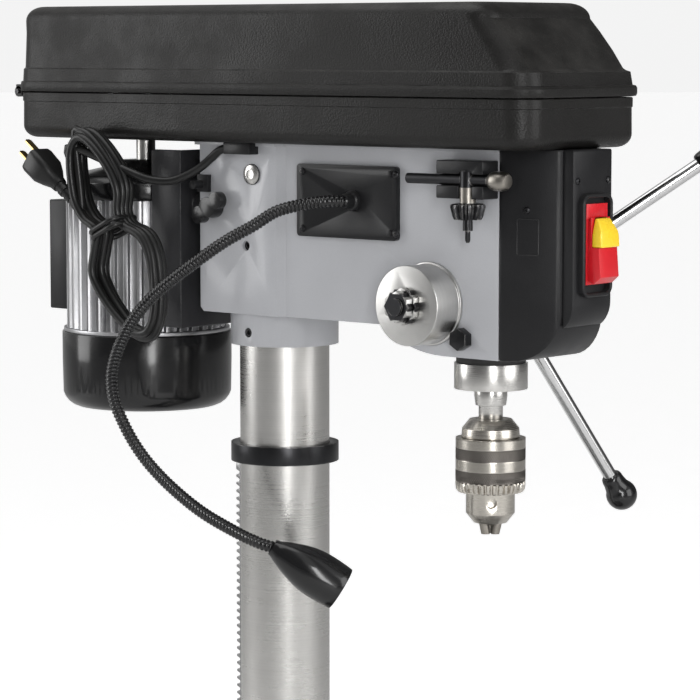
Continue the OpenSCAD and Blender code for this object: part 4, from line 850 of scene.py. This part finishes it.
class PRESS_OT_motor(bpy.types.Operator):
    """Motor with its plate, covers and terminal box"""
    bl_idname = "press.motor"
    bl_label = "Build motor"

    def execute(self, context):
        remake("motor_body", "motor_unit", "cast_alloy", 0.0003)
        remake("motor_covers", "motor_unit", "gloss_black", 0.0008)
        remake("motor_box", "motor_unit", "black_plastic", 0.0016, 3)
        remake("motor_plate", "motor_unit", "black_iron", 0.0008)
        remake("motor_shaft", "rotor", "motor_steel")
        remake("motor_pulley", "rotor", "pulley_alloy")
        bm = bmesh.new()
        for x in (-0.030, 0.030):
            for z in (0.770, 0.8385):
                screw_into(bm, (x, MOTOR_AXIS.y + 0.0792, z), (0, 1, 0), 0.0030, 0.0016)
        _finish_mesh("motor_box_screws", bm, "motor_unit", "black_oxide")
        return {"FINISHED"}


class PRESS_OT_drive(bpy.types.Operator):
    """Belt drive under the lid and the motor's slide clamp"""
    bl_idname = "press.drive"
    bl_label = "Build drive"

    def execute(self, context):
        remake("drive_belts", "frame", "belt_rubber", 0.0006)
        remake("idler_arm", "idler_swing_arm", "cast_alloy", 0.0006)
        remake("idler_pulley", "idler_wheel", "pulley_alloy")
        remake("spindle_pulley", "spindle_wheel", "pulley_alloy")
        remake("pulley_bearings", "frame", "spindle_steel")
        remake("wing_knob", "slide_clamp", "gloss_black", 0.0018, 3)
        return {"FINISHED"}


class PRESS_OT_column(bpy.types.Operator):
    """Base, column, rack and ring"""
    bl_idname = "press.column"
    bl_label = "Build column and base"

    def execute(self, context):
        remake("column", "frame", "column_steel")
        remake("rack_ring", "frame", "black_oxide", 0.0010, 3)
        remake("column_flange", "frame", "black_iron", 0.0015, 3)
        remake("base", "frame", "black_iron", 0.0025, 3)
        remake("rack", "column_rack", "ground_iron", 0.0002)
        return {"FINISHED"}


class PRESS_OT_table(bpy.types.Operator):
    """Work table with its bracket, yoke, crank and locks"""
    bl_idname = "press.table"
    bl_label = "Build table"

    def execute(self, context):
        remake("table_bracket", "table_carrier", "black_iron", 0.0016, 3)
        remake("lift_pinion", "lift_crank", "ground_iron")
        remake("crank", "lift_crank", "black_iron", 0.0010)
        remake("column_lock", "column_clamp", "black_oxide", 0.0006)
        remake("table_yoke", "tilt_yoke", "black_iron", 0.0016, 3)
        remake("table_lock", "yoke_clamp", "black_oxide", 0.0006)
        remake("table", "work_table", "ground_iron", 0.0010, 3)
        return {"FINISHED"}


class PRESS_OT_lamp(bpy.types.Operator):
    """Ribbed flexible arm and lamp head"""
    bl_idname = "press.lamp"
    bl_label = "Build lamp"

    def execute(self, context):
        root = Vector(ARM_ROOT) * MM
        route = smooth_route([root + Vector(p) * MM for p in ARM], 8)
        pitch = context.scene.press.rib_pitch
        route = even_route(route, pitch / 4)
        wave = (0.0041, 0.0049, 0.0050, 0.0045)
        radii = [wave[i % 4] for i in range(len(route))]
        bm = bmesh.new()
        skin_rings(bm, tube_rings(route, radii, 18))
        _finish_mesh("arm_finish", bm, "lamp", "gloss_black", 70.0, ("gooseneck",))
        lathe("arm_socket", [(0, 0), (0.0080, 0), (0.0080, 0.0030), (0.0072, 0.0044), (0.0062, 0.0052),
                             (0.0058, 0.0105), (0.0052, 0.0120), (0, 0.0120)],
              root + Vector((0.0018, 0, 0)), -ALONG_X, "lamp", "black_plastic", 36)

        end = route[-1]
        outer = [(0, -0.001), (0.0066, -0.001), (0.0070, 0.0002), (0.0082, 0.0035), (0.0088, 0.0042),
                 (0.0104, 0.0080), (0.0122, 0.0125), (0.0140, 0.0175), (0.0158, 0.0235), (0.0172, 0.0290),
                 (0.0181, 0.0345), (0.0185, 0.0400), (0.01855, 0.0450), (0.0184, 0.0505), (0.0181, 0.0560),
                 (0.0176, 0.0612), (0.0172, 0.0618), (0.0167, 0.0614)]
        inner = [(0.0160, 0.0580), (0.0142, 0.0500), (0.0122, 0.0410), (0.0104, 0.0335), (0, 0.0325)]
        lathe("lamp_head_finish", outer + inner, end, LAMP_DIR, "lamp", "gloss_black", 64, 40.0,
              ("lamp_head",))
        lathe("lamp_bulb", [(0, 0.0335), (0.0070, 0.0335), (0.0080, 0.0380), (0.0110, 0.0440),
                            (0.0130, 0.0500), (0.0120, 0.0545), (0.0070, 0.0575), (0, 0.0585)],
              end, LAMP_DIR, "lamp", "lamp_lens", 40, 40.0)
        return {"FINISHED"}


class PRESS_OT_chuck_key(bpy.types.Operator):
    """Chuck key: cross bar, shank and bevel gear"""
    bl_idname = "press.chuck_key"
    bl_label = "Build chuck key"

    def execute(self, context):
        bm = bmesh.new()
        lathe_into(bm, [(0, 0.8330), (0.0012, 0.8332), (0.0020, 0.8350), (0.0020, 0.8420), (0.0038, 0.8422),
                        (0.0038, 0.8510), (0.0060, 0.8512), (0.0060, 0.8860), (0.0052, 0.8872), (0, 0.8872)],
                   Vector((KEY_X, KEY_Y, 0)), ALONG_Z, 32)
        rings = []
        for z, root, tip in ((0.8506, 0.0060, 0.0060), (0.8506, 0.0086, 0.0104), (0.8530, 0.0090, 0.0116),
                             (0.8600, 0.0106, 0.0134), (0.8618, 0.0106, 0.0130), (0.8625, 0.0100, 0.0108),
                             (0.8625, 0.0060, 0.0060)):
            def tooth(k, root=root, tip=tip):
                return root + (tip - root) * tooth_rise(k / 8, 0.34)
            rings.append(ring_of(Vector((KEY_X, KEY_Y, z)), tooth, 12 * 8))
        skin_rings(bm, rings, cap=False, close=True)
        lathe_into(bm, [(0, -0.0582), (0.0040, -0.0578), (0.0040, 0.0200), (0, 0.0202)],
                   Vector((KEY_X, KEY_Y, KEY_BAR_Z)), -ALONG_Y, 28)
        _finish_mesh("chuck_key_finish", bm, "key_tool", "black_oxide", 40.0, ("chuck_key",))
        bm = bmesh.new()
        lathe_into(bm, [(0, 0.0200), (0.0041, 0.0202), (0.0044, 0.0210), (0.0064, 0.0228), (0.0073, 0.0262),
                        (0.0075, 0.0310), (0.0070, 0.0352), (0.0052, 0.0378), (0, 0.0385)],
                   Vector((KEY_X, KEY_Y, KEY_BAR_Z)), -ALONG_Y, 32)
        lathe_into(bm, [(0, 0.8630), (0.0062, 0.8630), (0.0062, 0.8745), (0, 0.8745)],
                   Vector((KEY_X, KEY_Y, 0)), ALONG_Z, 32)
        _finish_mesh("chuck_key_bright", bm, "key_tool", "jaw_steel", 40.0)
        return {"FINISHED"}


class PRESS_OT_cord(bpy.types.Operator):
    """Power cord: lead, tied hank and plug"""
    bl_idname = "press.cord"
    bl_label = "Build power cord"

    def execute(self, context):
        turns = context.scene.press.turns
        top, low = Vector((130, 882)), Vector((82, 782))
        top_r, low_r = 31.5, 41.5
        down = (low - top).normalized()
        side = Vector((-down.y, down.x))
        route = [Vector(p) for p in LEAD]
        layers = (-93.6, -85.6, -97.4, -89.4, -81.8, -93.4)
        steps = 28
        for turn in range(turns):
            x0 = layers[turn % len(layers)]
            x1 = layers[(turn + 1) % len(layers)]
            spread = 1.0 - 0.06 * ((turn * 2) % 3)
            for k in range(steps):
                t = k / steps
                a = 2 * math.pi * t
                # a waisted loop: a wide lobe at each end, drawn in where the tie holds it
                c, s = math.cos(a + math.pi * 0.12), math.sin(a + math.pi * 0.12)
                lobe = top_r if c > 0 else low_r
                reach = (top - low).length / 2
                middle = (top + low) / 2
                along = -down * (c * (reach + lobe * abs(c)))
                width = lobe * spread * s * (1 - 0.62 * math.exp(-((c * (reach + lobe)) / 26.0) ** 2))
                point = middle + along * (0.985 - 0.02 * ((turn * 3) % 4)) + side * width
                blend = t * t * (3 - 2 * t)
                route.append(Vector((x0 + (x1 - x0) * blend, point.x, point.y)))
        route += [Vector(p) for p in TAIL]
        line = even_route(smooth_route([p * MM for p in route], 6), 0.004)
        curve = bpy.data.curves.new("power_cord", "CURVE")
        curve.dimensions = "3D"
        curve.bevel_depth = 0.0035
        curve.bevel_resolution = 4
        curve.use_fill_caps = True
        spline = curve.splines.new("POLY")
        spline.points.add(len(line) - 1)
        for point, place in zip(spline.points, line):
            point.co = (*place, 1.0)
        spline.use_smooth = True
        cord = bpy.data.objects.new("power_cord", curve)
        bpy.context.scene.collection.objects.link(cord)
        curve.materials.append(MATERIALS["cord_rubber"])
        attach(cord, "frame")
        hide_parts("cord_lead", "cord_hank", "cord_tail")

        middle = Vector((-0.0895, 0.106, 0.832))
        bm = bmesh.new()
        tie = [middle + Vector((0.0150 * sx, side.x * 0.0165 * sy, side.y * 0.0165 * sy))
               for sx, sy in rounded_outline(1.0, 1.0, 0.6, 8)]
        for offset in (-0.0026, 0.0026):
            path = [p + Vector((0, down.x, down.y)) * offset for p in tie]
            hoop_into(bm, path, 0.0022, 10)
        tie_piece = _finish_mesh("cord_tie_finish", bm, "frame", "cord_rubber", 60.0, ("cord_tie",))

        foot = Vector(TAIL[-1]) * MM
        bm = bmesh.new()
        v = PLUG_DIR.cross(ALONG_X)
        rings = []
        for along, hw, hl, r in ((-0.001, 0.0044, 0.0044, 0.0043), (0.004, 0.0050, 0.0050, 0.0049),
                                 (0.0045, 0.0042, 0.0042, 0.0041), (0.008, 0.0046, 0.0046, 0.0045),
                                 (0.0085, 0.0054, 0.0054, 0.0053), (0.0125, 0.0056, 0.0056, 0.0055),
                                 (0.0130, 0.0048, 0.0048, 0.0047), (0.0165, 0.0052, 0.0052, 0.0050),
                                 (0.0170, 0.0062, 0.0062, 0.0060), (0.0220, 0.0068, 0.0066, 0.0060),
                                 (0.0280, 0.0095, 0.0085, 0.0055), (0.0360, 0.0118, 0.0106, 0.0050),
                                 (0.0500, 0.0120, 0.0110, 0.0050), (0.0532, 0.0114, 0.0104, 0.0046),
                                 (0.0540, 0.0104, 0.0094, 0.0040)):
            rings.append([foot + PLUG_DIR * along + ALONG_X * a + v * b
                          for a, b in rounded_outline(hw, hl, r, 6)])
        skin_rings(bm, rings)
        plug = _finish_mesh("plug_finish", bm, "frame", "cord_rubber", 40.0, ("plug",))
        bm = bmesh.new()
        for s in (-1, 1):
            blade = [foot + PLUG_DIR * a + ALONG_X * b + v * (s * 0.006) for a, b in
                     ((0.0530, -0.0032), (0.0530, 0.0032), (0.0690, 0.0032), (0.0706, 0.0018),
                      (0.0706, -0.0018), (0.0690, -0.0032))]
            skin_rings(bm, [[p - v * 0.0008 for p in blade], [p + v * 0.0008 for p in blade]])
        _finish_mesh("plug_blades", bm, "frame", "brass")
        return {"FINISHED"}


class PRESS_OT_stage(bpy.types.Operator):
    """Floor, lights and camera"""
    bl_idname = "press.stage"
    bl_label = "Set up stage"

    def execute(self, context):
        scene = context.scene
        bm = bmesh.new()
        sides = 96
        skin_rings(bm, [ring_of(ALONG_Z * (-0.0005 - 0.0001 * i), lambda k, r=r: r, sides)
                        for i, r in enumerate((0.5, 2.0, 8.0, 60.0))], cap=False)
        bm.verts.ensure_lookup_table()
        bm.faces.new(bm.verts[:sides])
        bmesh.ops.recalc_face_normals(bm, faces=bm.faces)
        mesh = bpy.data.meshes.new("floor")
        bm.to_mesh(mesh)
        bm.free()
        floor = bpy.data.objects.new("floor", mesh)
        scene.collection.objects.link(floor)
        coated("floor_paint", tuple(scene.press_paint.floor), 0.85, contrast=0.01, bump=0.02)
        paint = MATERIALS["floor_paint"].node_tree
        shader = next(node for node in paint.nodes if node.type == "BSDF_PRINCIPLED")
        shader.inputs["Emission Color"].default_value = (1.0, 1.0, 1.0, 1.0)
        glow = paint.nodes.new("ShaderNodeLightPath").outputs["Is Camera Ray"]
        paint.links.new(_math(paint, "MULTIPLY", glow, FLOOR_GLOW), shader.inputs["Emission Strength"])
        mesh.materials.append(MATERIALS["floor_paint"])

        world = bpy.data.worlds.new("studio")
        world.use_nodes = True
        tree = world.node_tree
        background = tree.nodes["Background"]
        direction = tree.nodes.new("ShaderNodeTexCoord").outputs["Generated"]
        parts = tree.nodes.new("ShaderNodeSeparateXYZ")
        tree.links.new(direction, parts.inputs[0])
        heading = _math(tree, "ARCTAN2", parts.outputs["Y"], parts.outputs["X"])
        bands = tree.nodes.new("ShaderNodeValToRGB")
        bands.color_ramp.interpolation = "EASE"
        stops = ((0.0, 0.16), (0.085, 0.16), (0.105, 0.95), (0.165, 0.95), (0.185, 0.32), (0.215, 0.40),
                 (0.235, 0.85), (0.345, 0.75), (0.375, 0.10), (0.590, 0.12), (0.640, 0.55), (0.915, 0.50),
                 (0.945, 0.16), (1.0, 0.16))
        for position, level in stops[1:-1]:
            bands.color_ramp.elements.new(position)
        for element, (position, level) in zip(bands.color_ramp.elements, stops):
            element.position = position
            element.color = (level, level, level, 1.0)
        turn = _math(tree, "ADD", _math(tree, "DIVIDE", heading, 2 * math.pi), 0.5)
        tree.links.new(turn, bands.inputs[0])
        seen = tree.nodes.new("ShaderNodeLightPath").outputs["Is Camera Ray"]
        tree.links.new(_blend(tree, seen, bands.outputs[0], (1.0, 1.0, 1.0)), background.inputs["Color"])
        background.inputs["Strength"].default_value = 0.90
        scene.world = world

        def area(name, place, target, size, power):
            light = bpy.data.lights.new(name, "AREA")
            light.shape = "RECTANGLE"
            light.size, light.size_y = size
            light.energy = power
            lamp = bpy.data.objects.new(name, light)
            lamp.location = place
            lamp.rotation_euler = (Vector(target) - Vector(place)).to_track_quat("-Z", "Y").to_euler()
            scene.collection.objects.link(lamp)

        area("key", (-1.90, -2.19, 1.25), (0, -0.05, 0.75), (0.5, 1.8), 34)
        area("front", (0.45, -2.50, 1.25), (0, -0.1, 0.75), (1.5, 1.8), 24)
        area("left", (-1.50, 1.95, 1.35), (0, 0, 0.75), (1.0, 1.8), 22)
        area("top", (-0.4, 0.4, 2.6), (0, 0, 0.9), (1.6, 1.6), 14)

        camera = bpy.data.cameras.new("camera")
        camera.sensor_width = 36.0
        camera.lens = 152.2
        viewer = bpy.data.objects.new("camera", camera)
        heading, dip = math.radians(41.0), math.radians(5.883)
        look = Vector((math.cos(heading) * math.cos(dip), math.sin(heading) * math.cos(dip), -math.sin(dip)))
        viewer.location = (-1.7771, -1.6153, 0.980)
        viewer.rotation_euler = look.to_track_quat("-Z", "Y").to_euler()
        scene.collection.objects.link(viewer)
        scene.camera = viewer
        scene.view_settings.view_transform = "Standard"
        return {"FINISHED"}


BUILDERS = (PRESS_OT_column, PRESS_OT_table, PRESS_OT_head, PRESS_OT_front_box, PRESS_OT_switch,
            PRESS_OT_guard, PRESS_OT_quill, PRESS_OT_chuck, PRESS_OT_feed, PRESS_OT_drive,
            PRESS_OT_motor, PRESS_OT_lamp, PRESS_OT_chuck_key, PRESS_OT_cord, PRESS_OT_stage)


class PRESS_PT_sidebar(bpy.types.Panel):
    bl_idname = "PRESS_PT_sidebar"
    bl_label = "Drill Press"
    bl_space_type = "VIEW_3D"
    bl_region_type = "UI"
    bl_category = "Drill Press"

    def draw(self, context):
        layout = self.layout
        for settings in (context.scene.press, context.scene.press_paint):
            for key in settings.__annotations__:
                layout.prop(settings, key)
        for builder in BUILDERS:
            layout.operator(builder.bl_idname)


CLASSES = (PressSettings, PaintSettings) + BUILDERS + (PRESS_PT_sidebar,)


def register():
    for cls in CLASSES:
        bpy.utils.register_class(cls)
    bpy.types.Scene.press = PointerProperty(type=PressSettings)
    bpy.types.Scene.press_paint = PointerProperty(type=PaintSettings)


def unregister():
    del bpy.types.Scene.press_paint
    del bpy.types.Scene.press
    for cls in reversed(CLASSES):
        bpy.utils.unregister_class(cls)


def main():
    register()
    make_materials(bpy.context.scene.press_paint)
    for builder in BUILDERS:
        group, name = builder.bl_idname.split(".")
        getattr(getattr(bpy.ops, group), name)()


if __name__ == "__main__":
    main()
